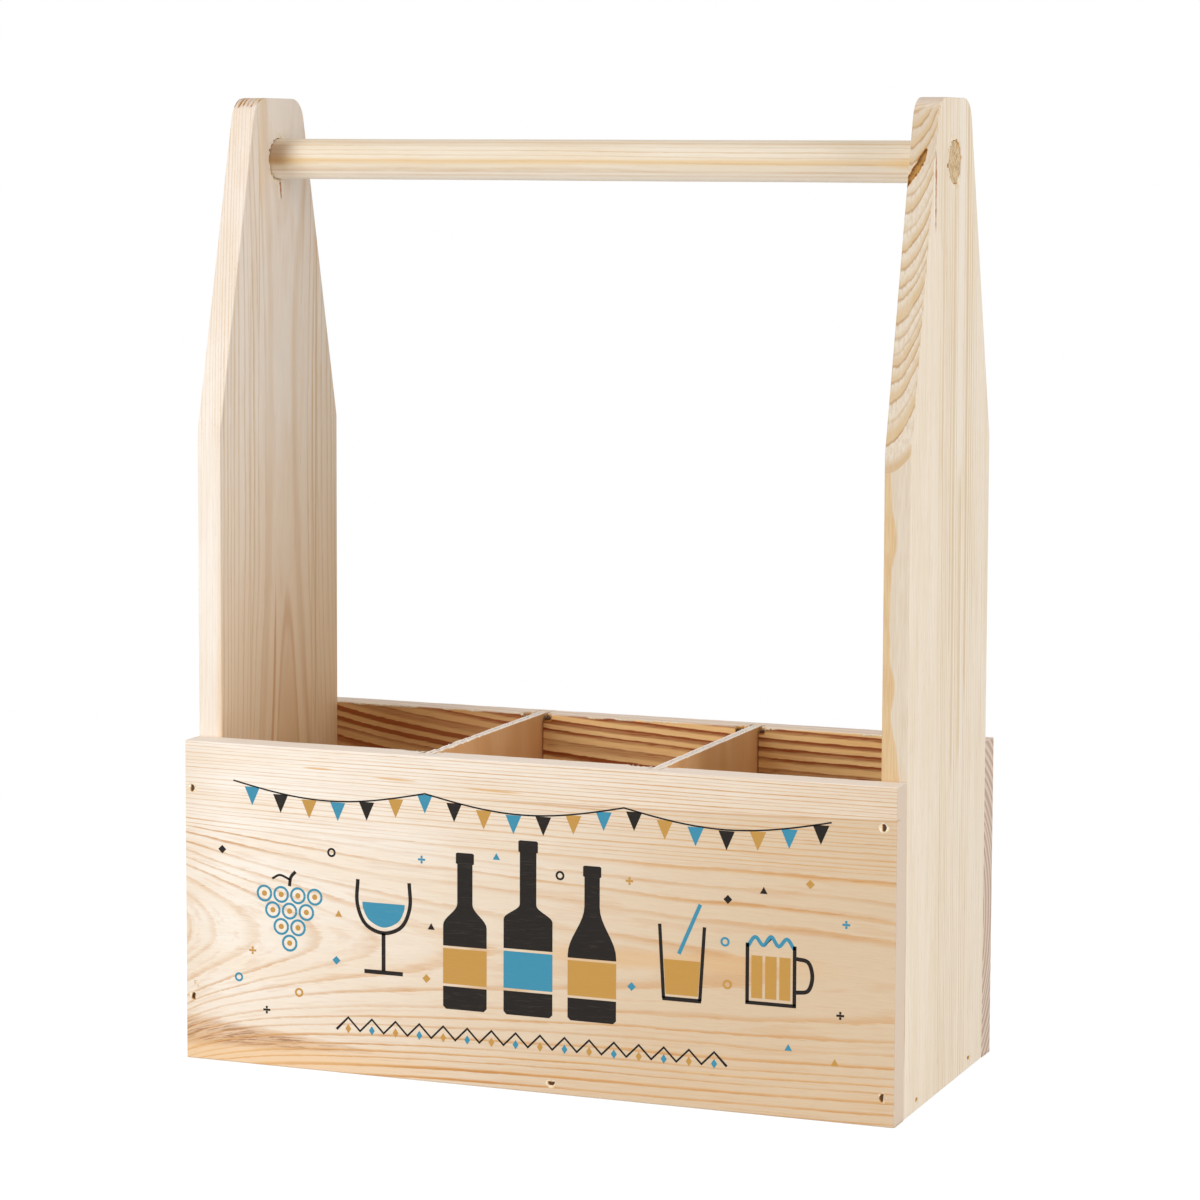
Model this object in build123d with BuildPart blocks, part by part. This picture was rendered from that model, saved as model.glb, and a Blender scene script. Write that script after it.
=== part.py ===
from build123d import *

import os

# Wooden bottle caddy: a long open box in three compartments, with two tall end boards
# that narrow towards a round handle.
# The origin is the middle of the underside. X runs along the handle, the front panel
# faces -Y and Z points up. Lengths are in millimetres.

# The box
caddy_length = 290.0
caddy_depth = 130.0
panel_height = 126.0
panel_thickness = 12.0
bottom_thickness = 8.0

# The end boards, called uprights: straight up to the shoulder, then tapered front and back
upright_height = 376.0
upright_thickness = 10.0
taper_height = 130.0
top_width = 41.0
top_corner_radius = 10.0

# Sanded edges of the boards
eased_edge = 0.5

# The handle, a dowel glued into both uprights with its ends flush; its axis lies below their tops
handle_diameter = 16.0
handle_drop = 24.0
handle_glue_gap = 0.2

# The dividers, loose sheets in open-top grooves
divider_thickness = 4.0
divider_seat_gap = 0.3
groove_depth = 5.0
groove_side_gap = 0.4
groove_end_gap = 0.5
divider_place_shares = (-0.165, 0.18)

# The brads, flat wire with a T-shaped head and a chisel point, driven below the surface
brad_length = 30.0
brad_width = 1.25
brad_thickness = 1.0
brad_head_width = 2.4
brad_head_thickness = 1.0
brad_point_length = 2.0
brad_point_share = 0.25
brad_sink = 1.0

# Where the brads are: how far through an upright's thickness, from its outer face, and at what
# heights at each end of a panel, the place along it of the one that holds the bottom board, and
# the places across an upright of the two at its foot
left_inset_share = 0.3
right_inset_share = 0.5
left_end_brad_shares = (0.195, 0.852)
right_end_brad_shares = (0.085, 0.88)
base_brad_share = 0.033
foot_brad_shares = (-0.345, 0.325)

# How far a cut runs past the wood
cut_overrun = 1.0

# Sizes that follow
half_length = caddy_length / 2
half_depth = caddy_depth / 2
inside_length = caddy_length - 2 * upright_thickness
inside_depth = caddy_depth - 2 * panel_thickness
shoulder_height = upright_height - taper_height
handle_height = upright_height - handle_drop
groove_width = divider_thickness + 2 * groove_side_gap
groove_floor = inside_depth / 2 + groove_depth
divider_places = [share * inside_length for share in divider_place_shares]
divider_length = inside_depth + 2 * (groove_depth - groove_end_gap)
divider_foot = bottom_thickness + divider_seat_gap


def brad_spots_on_panel(side):
    """Planes on a panel's outer face, front at side -1 and back at side 1, one for each brad.

    The four end brads run into the uprights' edges, their heads upright. The fifth runs into
    the bottom board, its head level. Each plane's X is the long way of the brad's head.
    """
    left_place = left_inset_share * upright_thickness - half_length
    right_place = half_length - right_inset_share * upright_thickness
    face = side * half_depth
    ends = [(left_place, share * panel_height) for share in left_end_brad_shares]
    ends += [(right_place, share * panel_height) for share in right_end_brad_shares]
    base = (base_brad_share * caddy_length, face, bottom_thickness / 2)
    spots = [Plane((x, face, z), x_dir=(0, 0, 1), z_dir=(0, side, 0)) for x, z in ends]
    return [*spots, Plane(base, x_dir=(1, 0, 0), z_dir=(0, side, 0))]


def brad_spots_on_upright(side):
    """Planes low on an upright's outer face, left at side -1, for the brads into the bottom board."""
    return [
        Plane((side * half_length, share * inside_depth, bottom_thickness / 2), x_dir=(0, 1, 0), z_dir=(side, 0, 0))
        for share in foot_brad_shares
    ]


brad_spots = {
    "front_panel_brads": brad_spots_on_panel(-1),
    "back_panel_brads": brad_spots_on_panel(1),
    "left_upright_brads": brad_spots_on_upright(-1),
    "right_upright_brads": brad_spots_on_upright(1),
}
all_brad_spots = [spot for spots in brad_spots.values() for spot in spots]

# One brad, driven down from the wood's surface at z = 0
head_top = -brad_sink
head_foot = head_top - brad_head_thickness
point_tip = head_top - brad_length
point_start = point_tip + brad_point_length

with BuildPart() as brad:
    with BuildSketch(Plane.XY.offset(head_foot)):
        Rectangle(brad_head_width, brad_width)
    extrude(amount=brad_head_thickness)
    with BuildSketch(Plane.XY.offset(point_start)):
        Rectangle(brad_thickness, brad_width)
    extrude(amount=head_foot - point_start)
    with BuildSketch(Plane.XY.offset(point_start)):
        Rectangle(brad_thickness, brad_width)
    with BuildSketch(Plane.XY.offset(point_tip)):
        Rectangle(brad_thickness * brad_point_share, brad_width)
    loft()

# The wood that a brad takes away: its own body and the slot above its head
with BuildPart() as brad_hole:
    add(brad.part)
    with BuildSketch(Plane.XY.offset(head_top)):
        Rectangle(brad_head_width, brad_width)
    extrude(amount=brad_sink + cut_overrun)


def cut_brad_holes():
    """Take every brad's hole out of the board that is being made."""
    with Locations(*all_brad_spots):
        add(brad_hole.part, mode=Mode.SUBTRACT)


def make_panel(side):
    """A long board, front at side -1 and back at side 1, grooved on its inner face."""
    board_middle = side * (half_depth - panel_thickness / 2)
    groove_middle = side * (groove_floor - (groove_depth + cut_overrun) / 2)
    with BuildPart() as panel:
        with BuildSketch():
            with Locations((0, board_middle)):
                Rectangle(caddy_length, panel_thickness)
        extrude(amount=panel_height)
        fillet(panel.edges(), radius=eased_edge)
        with BuildSketch():
            with Locations(*[(place, groove_middle) for place in divider_places]):
                Rectangle(groove_width, groove_depth + cut_overrun)
        extrude(amount=panel_height, mode=Mode.SUBTRACT)
        cut_brad_holes()
    return panel


def make_upright(side):
    """An end board, left at side -1 and right at side 1, bored for the handle."""
    board_middle = side * (half_length - upright_thickness / 2)
    with BuildPart() as upright:
        with BuildSketch(Plane.YZ.offset(board_middle)) as outline:
            with BuildLine():
                Polyline(
                    (0, 0),
                    (inside_depth / 2, 0),
                    (inside_depth / 2, shoulder_height),
                    (top_width / 2, upright_height),
                    (0, upright_height),
                )
                mirror(about=Plane.YZ)
            make_face()
            fillet(outline.vertices().group_by(Axis.Y)[-1], radius=top_corner_radius)
        extrude(amount=upright_thickness / 2, both=True)
        fillet(upright.faces().filter_by(Axis.X).edges(), radius=eased_edge)
        with Locations(Plane((board_middle, 0, handle_height), z_dir=(side, 0, 0))):
            Hole(handle_diameter / 2 + handle_glue_gap)
        cut_brad_holes()
    return upright


def make_divider(place):
    """A plain sheet across the box, its ends in the grooves and its top level with the panels."""
    with BuildPart() as divider:
        with BuildSketch(Plane.XY.offset(divider_foot)):
            with Locations((place, 0)):
                Rectangle(divider_thickness, divider_length)
        extrude(amount=panel_height - divider_foot)
    return divider


def make_brads(spots):
    """The brads of one board, all alike."""
    with BuildPart() as brads:
        with Locations(*spots):
            add(brad.part)
    return brads


with BuildPart() as bottom_board:
    with BuildSketch():
        Rectangle(inside_length, inside_depth)
    extrude(amount=bottom_thickness)
    cut_brad_holes()

with BuildPart() as handle:
    with BuildSketch(Plane.YZ.offset(-half_length)):
        with Locations((0, handle_height)):
            Circle(handle_diameter / 2)
    extrude(amount=caddy_length)

pieces = {
    "front_panel": make_panel(-1),
    "back_panel": make_panel(1),
    "left_upright": make_upright(-1),
    "right_upright": make_upright(1),
    "bottom_board": bottom_board,
    "handle": handle,
    "left_divider": make_divider(min(divider_places)),
    "right_divider": make_divider(max(divider_places)),
}
pieces.update({name: make_brads(spots) for name, spots in brad_spots.items()})

os.makedirs("parts", exist_ok=True)
for name, piece in pieces.items():
    piece.part.label = name
    export_step(piece.part, f"parts/{name}.step")
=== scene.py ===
import bpy
import numpy as np
from mathutils import Matrix, Vector


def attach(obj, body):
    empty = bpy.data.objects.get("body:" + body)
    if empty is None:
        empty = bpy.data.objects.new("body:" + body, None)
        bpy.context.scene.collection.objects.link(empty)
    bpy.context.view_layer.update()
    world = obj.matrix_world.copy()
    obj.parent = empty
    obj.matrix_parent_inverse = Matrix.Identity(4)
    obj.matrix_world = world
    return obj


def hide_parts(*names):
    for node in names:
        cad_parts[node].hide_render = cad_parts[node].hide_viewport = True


# Looks of the wooden bottle caddy. Every length below is in millimetres until it goes into a mesh;
# the axes are the model's own: X along the handle, the front panel faces -Y, Z up.

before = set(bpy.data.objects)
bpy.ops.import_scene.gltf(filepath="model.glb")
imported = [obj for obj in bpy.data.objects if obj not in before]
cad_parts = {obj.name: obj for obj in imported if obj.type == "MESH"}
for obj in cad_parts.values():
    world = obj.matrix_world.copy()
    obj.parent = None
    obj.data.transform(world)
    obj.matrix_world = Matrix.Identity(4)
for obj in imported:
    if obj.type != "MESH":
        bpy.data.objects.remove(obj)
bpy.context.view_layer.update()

MM = 0.001

# The boards, as the model has them
half_length, half_depth = 145.0, 65.0
panel_height, panel_thickness = 126.0, 12.0
upright_height, upright_thickness = 376.0, 10.0
shoulder_height, top_half_width, top_corner = 246.0, 20.5, 10.0
inside_half_depth = half_depth - panel_thickness
taper_lean = (inside_half_depth - top_half_width) / (upright_height - shoulder_height)
eased_edge = 0.5
handle_height, handle_radius, bore_radius = 352.0, 8.0, 8.2
groove_half_width, groove_depth = 2.4, 5.0
groove_places = (-44.55, 48.6)
divider_half_thickness, divider_half_length, divider_foot = 2.0, 57.5, 8.3

# The print on the front stands this far proud of the wood, which is sunk as far under the model's face
print_rise = 0.05

# Brads on a panel (along, up), the last of them level, and at an upright's foot (across, up)
panel_brads = ((-142.0, 24.57), (-142.0, 107.35), (140.0, 10.71), (140.0, 110.88), (9.57, 4.0))
foot_brads = ((-36.57, 4.0), (34.45, 4.0))


# Numbers and noise

# Places of a grid keep these gaps: from its ends, from each other and from exact places
end_gap, place_gap, exact_gap = 0.3, 0.12, 0.1

# Two depths closer than this are the same
tiny = 1e-6


def smooth(value, low, high):
    """0 below low, 1 above high and a smooth step between them."""
    share = np.clip((value - low) / (high - low), 0.0, 1.0)
    return share * share * (3.0 - 2.0 * share)


def rough(seed, *places):
    """Smooth noise from 0 to 1: chance values at whole-number places, blended by smooth steps."""
    places = np.broadcast_arrays(*[np.asarray(p, float) for p in places])
    cells = [np.floor(p).astype(np.int64) for p in places]
    shares = [p - c for p, c in zip(places, cells)]
    shares = [s * s * (3.0 - 2.0 * s) for s in shares]
    total = np.zeros(places[0].shape)
    for corner in range(2 ** len(places)):
        code = np.full(places[0].shape, seed * 7919 + 17, np.int64)
        weight = np.ones(places[0].shape)
        for axis, (cell, share) in enumerate(zip(cells, shares)):
            step = corner >> axis & 1
            code = (code * 48271 + (cell + step) * (40503 + 2 * axis)) % 2147483647
            code = (code * 16807) % 2147483647
            weight = weight * (share if step else 1.0 - share)
        total += weight * (code % 65521) / 65521.0
    return total


def stations(low, high, step, runs=(), exact=()):
    """Places from low to high about one step apart, with finer runs (middle, reach, step) and exact ones."""
    places = [np.linspace(low, high, int(round((high - low) / step)) + 1)]
    places += [np.arange(middle - reach, middle + reach + fine / 2, fine) for middle, reach, fine in runs]
    places = np.unique(np.concatenate(places))
    places = places[(places > low + end_gap) & (places < high - end_gap)]
    places = places[np.append(True, np.diff(places) > place_gap)]
    for spot in exact:
        places = places[np.abs(places - spot) > exact_gap]
    return np.unique(np.concatenate([places, exact, [low, high]]))


# Meshes

def rim_of(index, rows, columns):
    """The vertices round a block of a grid, once round, counter-clockwise in (first, second) place."""
    a, b = rows
    c, d = columns
    return np.concatenate([index[a:b, c], index[b, c:d], index[b:a:-1, d], index[a, d:c:-1]])


def quads_of(grid):
    """The quads of a grid of vertex numbers."""
    return np.stack([grid[:-1, :-1], grid[1:, :-1], grid[1:, 1:], grid[:-1, 1:]], -1).reshape(-1, 4)


def closed(grid, axis=1):
    """A grid whose rows end where they began."""
    return np.concatenate([grid, grid.take([0], axis)], axis)


def nearest(places, spot):
    """Which of the places lies nearest to a spot."""
    return int(np.argmin(np.abs(places - spot)))


def drawn_in(place, low, high, ease):
    """A place between low and high, with the outermost two eases squeezed into one.

    It is the greater of p and low + ease + (p - low) / 2, and the same from the high end.
    """
    place = np.maximum(place, low + ease + (place - low) / 2)
    return np.minimum(place, high - ease - (high - place) / 2)


def edge_profile(thickness, spots):
    """The edge of a board across its thickness: (share of the easing, depth) from face to face."""
    turn = np.linspace(0.0, np.pi / 2, 5)[1:]
    easing = np.sin(turn)
    depth = eased_edge * (1.0 - np.cos(turn))
    margin = eased_edge + 0.15
    flat = spots[(spots > margin) & (spots < thickness - margin)]
    shares = np.concatenate([easing, np.ones(len(flat)), easing[::-1]])
    depths = np.concatenate([depth, flat, thickness - depth[::-1]])
    return shares, depths


def slab(full, inset, thickness, spots, hole=None):
    """A board: two faces that are the same grid, joined round their rim by an eased edge, and through a hole.

    full and inset are the grid's places out to the board's outline and out to where the easing starts.
    Each edge row lies at inset + share * (full - inset). Gives places (p, q), depth from the first
    face, and quads that point outwards when (p, q, -depth) is a right-handed frame.
    """
    m, n = full.shape[:2]
    first = np.arange(m * n).reshape(m, n)
    last = first + m * n
    flat, deep = inset.reshape(-1, 2), np.zeros(m * n)
    places = [flat, flat]
    depths = [deep, deep + thickness]
    keep = np.ones((m - 1, n - 1), bool)
    if hole:
        (a, b), (c, d) = hole
        keep[a:b, c:d] = False
    cells = keep.reshape(-1)
    quads = [quads_of(first)[cells], quads_of(last)[cells][:, ::-1]]

    def band(rim, levels, spots_at):
        """Quads from a rim of the first face to the same rim of the last, with rows of points between."""
        rows = [rim]
        for level, row in zip(levels, spots_at):
            rows.append(sum(map(len, places)) + np.arange(len(rim)))
            places.append(row)
            depths.append(np.full(len(rim), level))
        return quads_of(closed(np.array([*rows, rim + m * n])))

    shares, levels = edge_profile(thickness, spots)
    rim = rim_of(first, (0, m - 1), (0, n - 1))
    outline, start = full.reshape(-1, 2)[rim], flat[rim]
    quads.append(band(rim, levels, [start + share * (outline - start) for share in shares]))
    if hole:
        rim = rim_of(first, *hole)
        levels = np.linspace(0.0, thickness, 9)[1:-1]
        quads.append(band(rim, levels, [flat[rim]] * len(levels))[:, ::-1])
    used = np.zeros(sum(map(len, places)), bool)
    quads = np.concatenate(quads)
    used[quads.reshape(-1)] = True
    number = np.cumsum(used) - 1
    places = np.concatenate(places)[used]
    return places[:, 0], places[:, 1], np.concatenate(depths)[used], number[quads]


def add_object(name, data):
    """An object of a mesh, lamp or camera, linked into the scene."""
    made = bpy.data.objects.new(name, data)
    bpy.context.scene.collection.objects.link(made)
    return made


def new_mesh(name, points, faces, finish):
    """A mesh from points in millimetres, a list of faces and a finish."""
    mesh = bpy.data.meshes.new(name)
    mesh.from_pydata((np.asarray(points) * MM).tolist(), [], faces)
    mesh.materials.append(finish)
    return mesh


def piece(name, points, faces, finish, body, replaced=(), marks=None, sharp=None):
    """A new piece: its mesh with its marks, the body it rides on, and the nodes it replaces."""
    mesh = new_mesh(name, points, faces, finish)
    for mark, values in (marks or {}).items():
        attribute = mesh.attributes.new(mark, "FLOAT", "POINT")
        attribute.data.foreach_set("value", np.asarray(values, np.float32))
    mesh.shade_smooth()
    if sharp:
        mesh.set_sharp_from_angle(angle=sharp)
    made = add_object(name, mesh)
    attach(made, body)
    if replaced:
        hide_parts(*replaced)


def slivers(seed, roots, lean, size):
    """Raised wood fibres: thin three-sided spikes that bend over as they rise from their roots.

    Point (u, v) of a spike is root + u * size * (lean + chance) + u * u * bend, plus a radius that
    shrinks with u along three directions v round it.
    """
    chance = np.random.default_rng(seed)
    roots = np.asarray(roots, float)
    count = len(roots)
    u = np.array([-0.25, 0.0, 0.35, 0.7, 1.0])
    length = size * chance.uniform(0.5, 1.3, (count, 1, 1, 1))
    way = np.asarray(lean, float) + chance.normal(0.0, 0.45, (count, 3))
    way /= np.linalg.norm(way, axis=1, keepdims=True)
    bend = chance.normal(0.0, 0.45, (count, 3))
    across = np.cross(way, chance.normal(0.0, 1.0, (count, 3)))
    across /= np.linalg.norm(across, axis=1, keepdims=True)
    other = np.cross(way, across)
    rise = u[None, :, None, None]
    line = rise * way[:, None, None, :] + rise * rise * bend[:, None, None, :]
    turn = (np.arange(3) * 2 * np.pi / 3)[None, :, None]
    ring = np.cos(turn) * across[:, None, :] + 0.4 * np.sin(turn) * other[:, None, :]
    width = 0.16 * (1.0 - 0.85 * np.clip(u, 0.0, 1.0)) * chance.uniform(0.6, 1.4, (count, 1))
    points = roots[:, None, None, :] + length * line + width[:, :, None, None] * ring[:, None, :, :]
    index = np.arange(count * len(u) * 3).reshape(count, len(u), 3)
    round_index = closed(index, 2)
    low, high = round_index[:, :-1], round_index[:, 1:]
    walls = np.stack([low[..., :-1], low[..., 1:], high[..., 1:], high[..., :-1]], -1)
    faces = walls.reshape(-1, 4).tolist() + index[:, 0, ::-1].tolist() + index[:, -1].tolist()
    return points.reshape(-1, 3), faces


def with_slivers(points, quads, marks, *tufts):
    """Adds raised fibres to a board's points and faces; they carry the mark of torn wood."""
    faces = quads.tolist()
    for more, their_faces in tufts:
        faces += [[len(points) + corner for corner in face] for face in their_faces]
        points = np.concatenate([points, more])
        marks = {mark: np.concatenate([values, np.full(len(more), 0.8 if mark == "torn" else 0.0)])
                 for mark, values in marks.items()}
    return points, faces, marks


# Finishes

def shade(red, green, blue):
    """A colour given as it looks on a screen, 0 to 255, as the linear values that shaders take."""
    seen = np.array([red, green, blue]) / 255.0
    linear = np.where(seen <= 0.04045, seen / 12.92, ((seen + 0.055) / 1.055) ** 2.4)
    return (*linear.tolist(), 1.0)


class Wire:
    """A socket of a finish. Arithmetic on wires and numbers adds the finish's Math nodes."""

    def __init__(self, finish, socket):
        self.finish, self.socket = finish, socket

    def maths(self, operation, *others):
        """A Math node on this wire and any others."""
        return self.finish.node("ShaderNodeMath", {"operation": operation}, [self, *others])

    def __add__(self, other):
        return self.maths("ADD", other)

    def __sub__(self, other):
        return self.maths("SUBTRACT", other)

    def __rsub__(self, other):
        return self.finish.node("ShaderNodeMath", {"operation": "SUBTRACT"}, [other, self])

    def __mul__(self, other):
        return self.maths("MULTIPLY", other)

    def __truediv__(self, other):
        return self.maths("DIVIDE", other)

    def __pow__(self, other):
        return self.maths("POWER", other)

    def size(self):
        return self.maths("ABSOLUTE")

    def at_most(self, most):
        return self.maths("MINIMUM", most)

    __radd__ = __add__
    __rmul__ = __mul__


class Finish:
    """A material in the making, or the world: wires for places, noise and mixes, and what they end in."""

    def __init__(self, owner):
        owner.use_nodes = True
        self.owner = owner
        self.tree = owner.node_tree
        self.tree.nodes.clear()

    def node(self, kind, settings=None, values=(), out=0):
        """Any node: its settings first, then numbers or wires for its sockets, by place or by name."""
        made = self.tree.nodes.new(kind)
        for setting, value in (settings or {}).items():
            setattr(made, setting, value)
        for socket, value in values.items() if isinstance(values, dict) else enumerate(values):
            if isinstance(value, Wire):
                self.tree.links.new(value.socket, made.inputs[socket])
            else:
                made.inputs[socket].default_value = value
        return Wire(self, made.outputs[out]) if made.outputs else None

    def place(self):
        """The point on the object, as three wires in millimetres."""
        spot = self.node("ShaderNodeTexCoord", out="Object")
        spot = self.node("ShaderNodeVectorMath", {"operation": "SCALE"}, {0: spot, "Scale": 1.0 / MM})
        return [self.node("ShaderNodeSeparateXYZ", values=[spot], out=axis) for axis in range(3)]

    def facing(self, axis):
        """How squarely the surface faces along an axis, from 0 to 1."""
        way = self.node("ShaderNodeTexCoord", out="Normal")
        return self.node("ShaderNodeSeparateXYZ", values=[way], out=axis).size()

    def noise(self, *place, detail=1.0, roughness=0.5):
        """Smooth noise from 0 to 1 at a place of three wires or numbers."""
        spot = self.node("ShaderNodeCombineXYZ", values=place)
        return self.node("ShaderNodeTexNoise", {"noise_dimensions": "3D"},
                         {"Vector": spot, "Scale": 1.0, "Detail": detail, "Roughness": roughness})

    def chance(self, number, seed):
        """A chance value from 0 to 1 for each whole number."""
        return self.node("ShaderNodeTexWhiteNoise", {"noise_dimensions": "1D"}, {"W": number + seed * 31.7})

    def step(self, value, low, high):
        """0 below low, 1 above high and a smooth step between them; with high first, 1 below and 0 above."""
        return self.node("ShaderNodeMapRange", {"interpolation_type": "SMOOTHSTEP"},
                         [value, low, high, 0.0, 1.0])

    def mark(self, name):
        """A mark that the piece's mesh carries, such as where the wood is torn."""
        return self.node("ShaderNodeAttribute", {"attribute_name": name}, out="Fac")

    def mix(self, share, first, second, way="MIX"):
        """Two colours mixed: share 0 is the first."""
        return self.node("ShaderNodeMix", {"data_type": "RGBA", "blend_type": way},
                         {0: share, 6: first, 7: second}, out=2)

    def grey(self, light):
        """One wire as all three channels of a colour."""
        return self.node("ShaderNodeCombineXYZ", values=[light, light, light])

    def dim(self, colour, light):
        """A colour times a light, which leaves it as it is at 1."""
        return self.mix(1.0, colour, self.grey(light), "MULTIPLY")

    def looked_at(self):
        """1 for the rays that see what lies behind: from the camera, off a gloss and through glass."""
        rays = ("Is Camera Ray", "Is Glossy Ray", "Is Transmission Ray")
        return sum((self.node("ShaderNodeLightPath", out=ray) for ray in rays), 0.0).at_most(1.0)

    def surface(self, colour, roughness, height, depth, gloss=0.35, metal=0.0):
        """The surface: its colour, its roughness, and relief that is a height wire times a depth."""
        bump = self.node("ShaderNodeBump", values={"Strength": 1.0, "Distance": depth * MM, "Height": height})
        shader = self.node("ShaderNodeBsdfPrincipled", values={
            "Base Color": colour, "Roughness": roughness, "Metallic": metal,
            "Specular IOR Level": gloss, "Normal": bump})
        self.node("ShaderNodeOutputMaterial", values=[shader])
        return self.owner


def wood(name, grain, rings, ring_width, pale, rich, late_wood, strength, seed, band=None, warmth=None,
         warm=None, wander=1.0, late_share=0.4, rise=0.42, accent=None, end_tint=(226, 207, 188),
         end_lines=0.3, marks=False, line_share=0.5, hairs=0.16, spots=(), ink=None):
    """Planed softwood, cut from a log whose growth rings run through the whole board.

    rings gives the distance from the log's heart. Each ring turns slowly from early wood to a band of
    late wood and ends in a sharp dark line. Its width and strength vary from ring to ring and along the
    grain. Hair lines run with the rings. Broad patches, fibres and short resin streaks lie along the
    grain, and end grain is greyer and shows its rings darker.
    """
    m = Finish(bpy.data.materials.new(name))
    x, y, z = m.place()
    along, side, deep, end = {"x": (x, z, y, 0), "z": (z, y, x, 2)}[grain]
    drift = m.noise(along / 130 + seed * 3.1, side / 34 + seed, deep / 34, detail=1.0) - 0.5
    ripple = m.noise(along / 34 + seed, side / 7, deep / 7 + seed, detail=1.0) - 0.5
    fibres = m.noise(along / 7 + seed, side * 1.9, deep * 1.9, detail=2.0, roughness=0.6)
    distance = rings(along, side, deep) + drift * (2.4 * wander) + ripple * (0.5 * wander)
    count = distance / ring_width + (fibres - 0.5) * 0.22
    count = count + (m.noise(count * 0.31, seed, 0.0, detail=0.0) - 0.5) * 1.5
    ring = count.maths("FLOOR")
    part = count - ring
    luck = m.chance(ring, seed)
    other_luck = m.chance(ring, seed + 5)
    start = (1.0 - late_share) - 0.28 + luck * 0.26
    late = m.step(part, start, start + rise) * m.step(part, 1.0, 0.9)
    line = m.step(part, 0.66, 0.86) * m.step(part, 1.0, 0.92)
    fade = m.step(m.noise(along / 75 + seed * 2, count * 0.7, seed, detail=1.0), 0.3, 0.62)
    force = (other_luck * 0.6 + 0.4) * (fade * 0.5 + 0.6) * strength
    if accent:
        force = force * accent(m, along, side, deep)
    patches = m.noise(along / 60 + seed, side / 9, deep / 9 + seed, detail=2.0)
    patches = m.step(patches, 0.36, 0.66)
    flecks = m.noise(along / 9, side * 2.4 + seed, deep * 2.4, detail=1.0)
    flecks = m.step(flecks, 0.6, 0.72) * (late * 0.6 + 0.2)
    colour = m.mix(patches * 0.6, shade(*pale), shade(*rich))
    if warmth:
        colour = m.mix(warmth(m, along, side, deep), colour, shade(*warm))
    hair = m.noise(along / 42 + seed, distance * 1.15, side * 0.2 + seed, detail=2.0, roughness=0.65)
    hairline = m.step(hair, 0.5, 0.68)
    if band:
        colour = m.mix((late * force * 1.3).at_most(1.0), colour, shade(*band))
        late = late * 0.25
    dark = late * force + line * force * line_share + flecks * (0.5 * strength) + hairline * hairs
    colour = m.mix(dark.at_most(1.0), colour, shade(*late_wood))
    colour = m.dim(colour, fibres * 0.12 + hair * 0.1 + 0.89)
    ends = m.step(m.facing(end), 0.55, 0.85)
    pores = m.noise(x * 3.0, y * 3.0, z * 3.0, detail=1.0)
    ends_colour = m.mix(late * end_lines + (1.0 - pores) * 0.2, shade(*end_tint), shade(150, 116, 92))
    colour = m.mix(ends, colour, ends_colour)
    height = fibres * 0.5 + late * 0.35 + pores * ends * 0.8
    for spot in spots:
        colour, height = spot(m, x, y, z, colour, height)
    if marks:
        torn, stain = m.mark("torn"), m.mark("stain")
        raw = m.noise(along / 1.5, side * 3.0, deep * 3.0, detail=1.0)
        torn_colour = m.mix(m.step(raw, 0.4, 0.65), shade(232, 208, 168), shade(252, 243, 226))
        colour = m.mix(m.step(torn, 0.15, 0.6), colour, torn_colour)
        brown = m.mix(m.step(stain, 0.5, 0.95), shade(208, 150, 74), shade(66, 32, 12))
        colour = m.mix(m.step(stain, 0.05, 0.4), colour, brown)
        height = height + torn * raw * 2.5
    if ink:
        colour = m.mix(0.995 - m.step(fibres, 0.52, 0.78) * 0.03, colour, shade(*ink))
    return m.surface(colour, fibres * 0.16 + 0.56, height, 0.14, gloss=0.12 if ink else 0.35)


# Each board's rings

def front_rings(along, side, deep):
    """Rings round a knot just past the left end, which open into nearly level grain to the right.

    The distance from the heart is the root of up² + in² + a part that grows with the way from the knot
    and counts for less high up. The rings dive towards the lower left corner and are closer together
    above 92 mm.
    """
    away = along + 150
    high = (side - 91) / 16
    grown = (away / -50).maths("EXPONENT") * -980 + away * 1.2 + 980
    dive = (away / -14).maths("EXPONENT") * (1.0 - ((side - 32) / 10).maths("TANH")) * 2.3
    up = side - 52 + dive
    crowd = (side - 92).maths("MAXIMUM", 0.0) * 0.6
    return (grown * (0.575 - high.maths("TANH") * 0.425) + up * up + (deep + 105) ** 2) ** 0.5 + crowd


def back_heart(along):
    """The height of the back panel's heart: it sinks towards the right, fastest at the left."""
    return ((along + 145) / -109).maths("EXPONENT") * 26 + 56


def back_rings(along, side, deep):
    """Wide rings round a heart inside the caddy."""
    return ((side - back_heart(along)) ** 2 + (deep - 15) ** 2) ** 0.5


def left_rings(along, side, deep):
    """Flat-sawn: the heart lies far inside the caddy, and the rings spread a little below 250 mm up."""
    spread = ((along - 250) / 110) ** 2 * 0.8
    return ((side - 3) ** 2 + (deep + 22 + spread) ** 2) ** 0.5


def right_rings(along, side, deep):
    """Rings that run across the board: fine lines on the outer face, curved slanting bands on the front edge.

    They bend forwards towards the outer face and are closest together 25 mm in front of the middle.
    """
    crowd = ((side + 25) / 18).maths("TANH") * 14
    out = deep - 135
    return 165 - side - along * 0.012 - crowd + out * 0.12 + out * out * 0.034


def handle_rings(along, side, deep):
    """The dowel is split from wood well outside the heart."""
    return ((side - 372 + along * 0.004) ** 2 + (deep - 16) ** 2) ** 0.5


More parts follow.
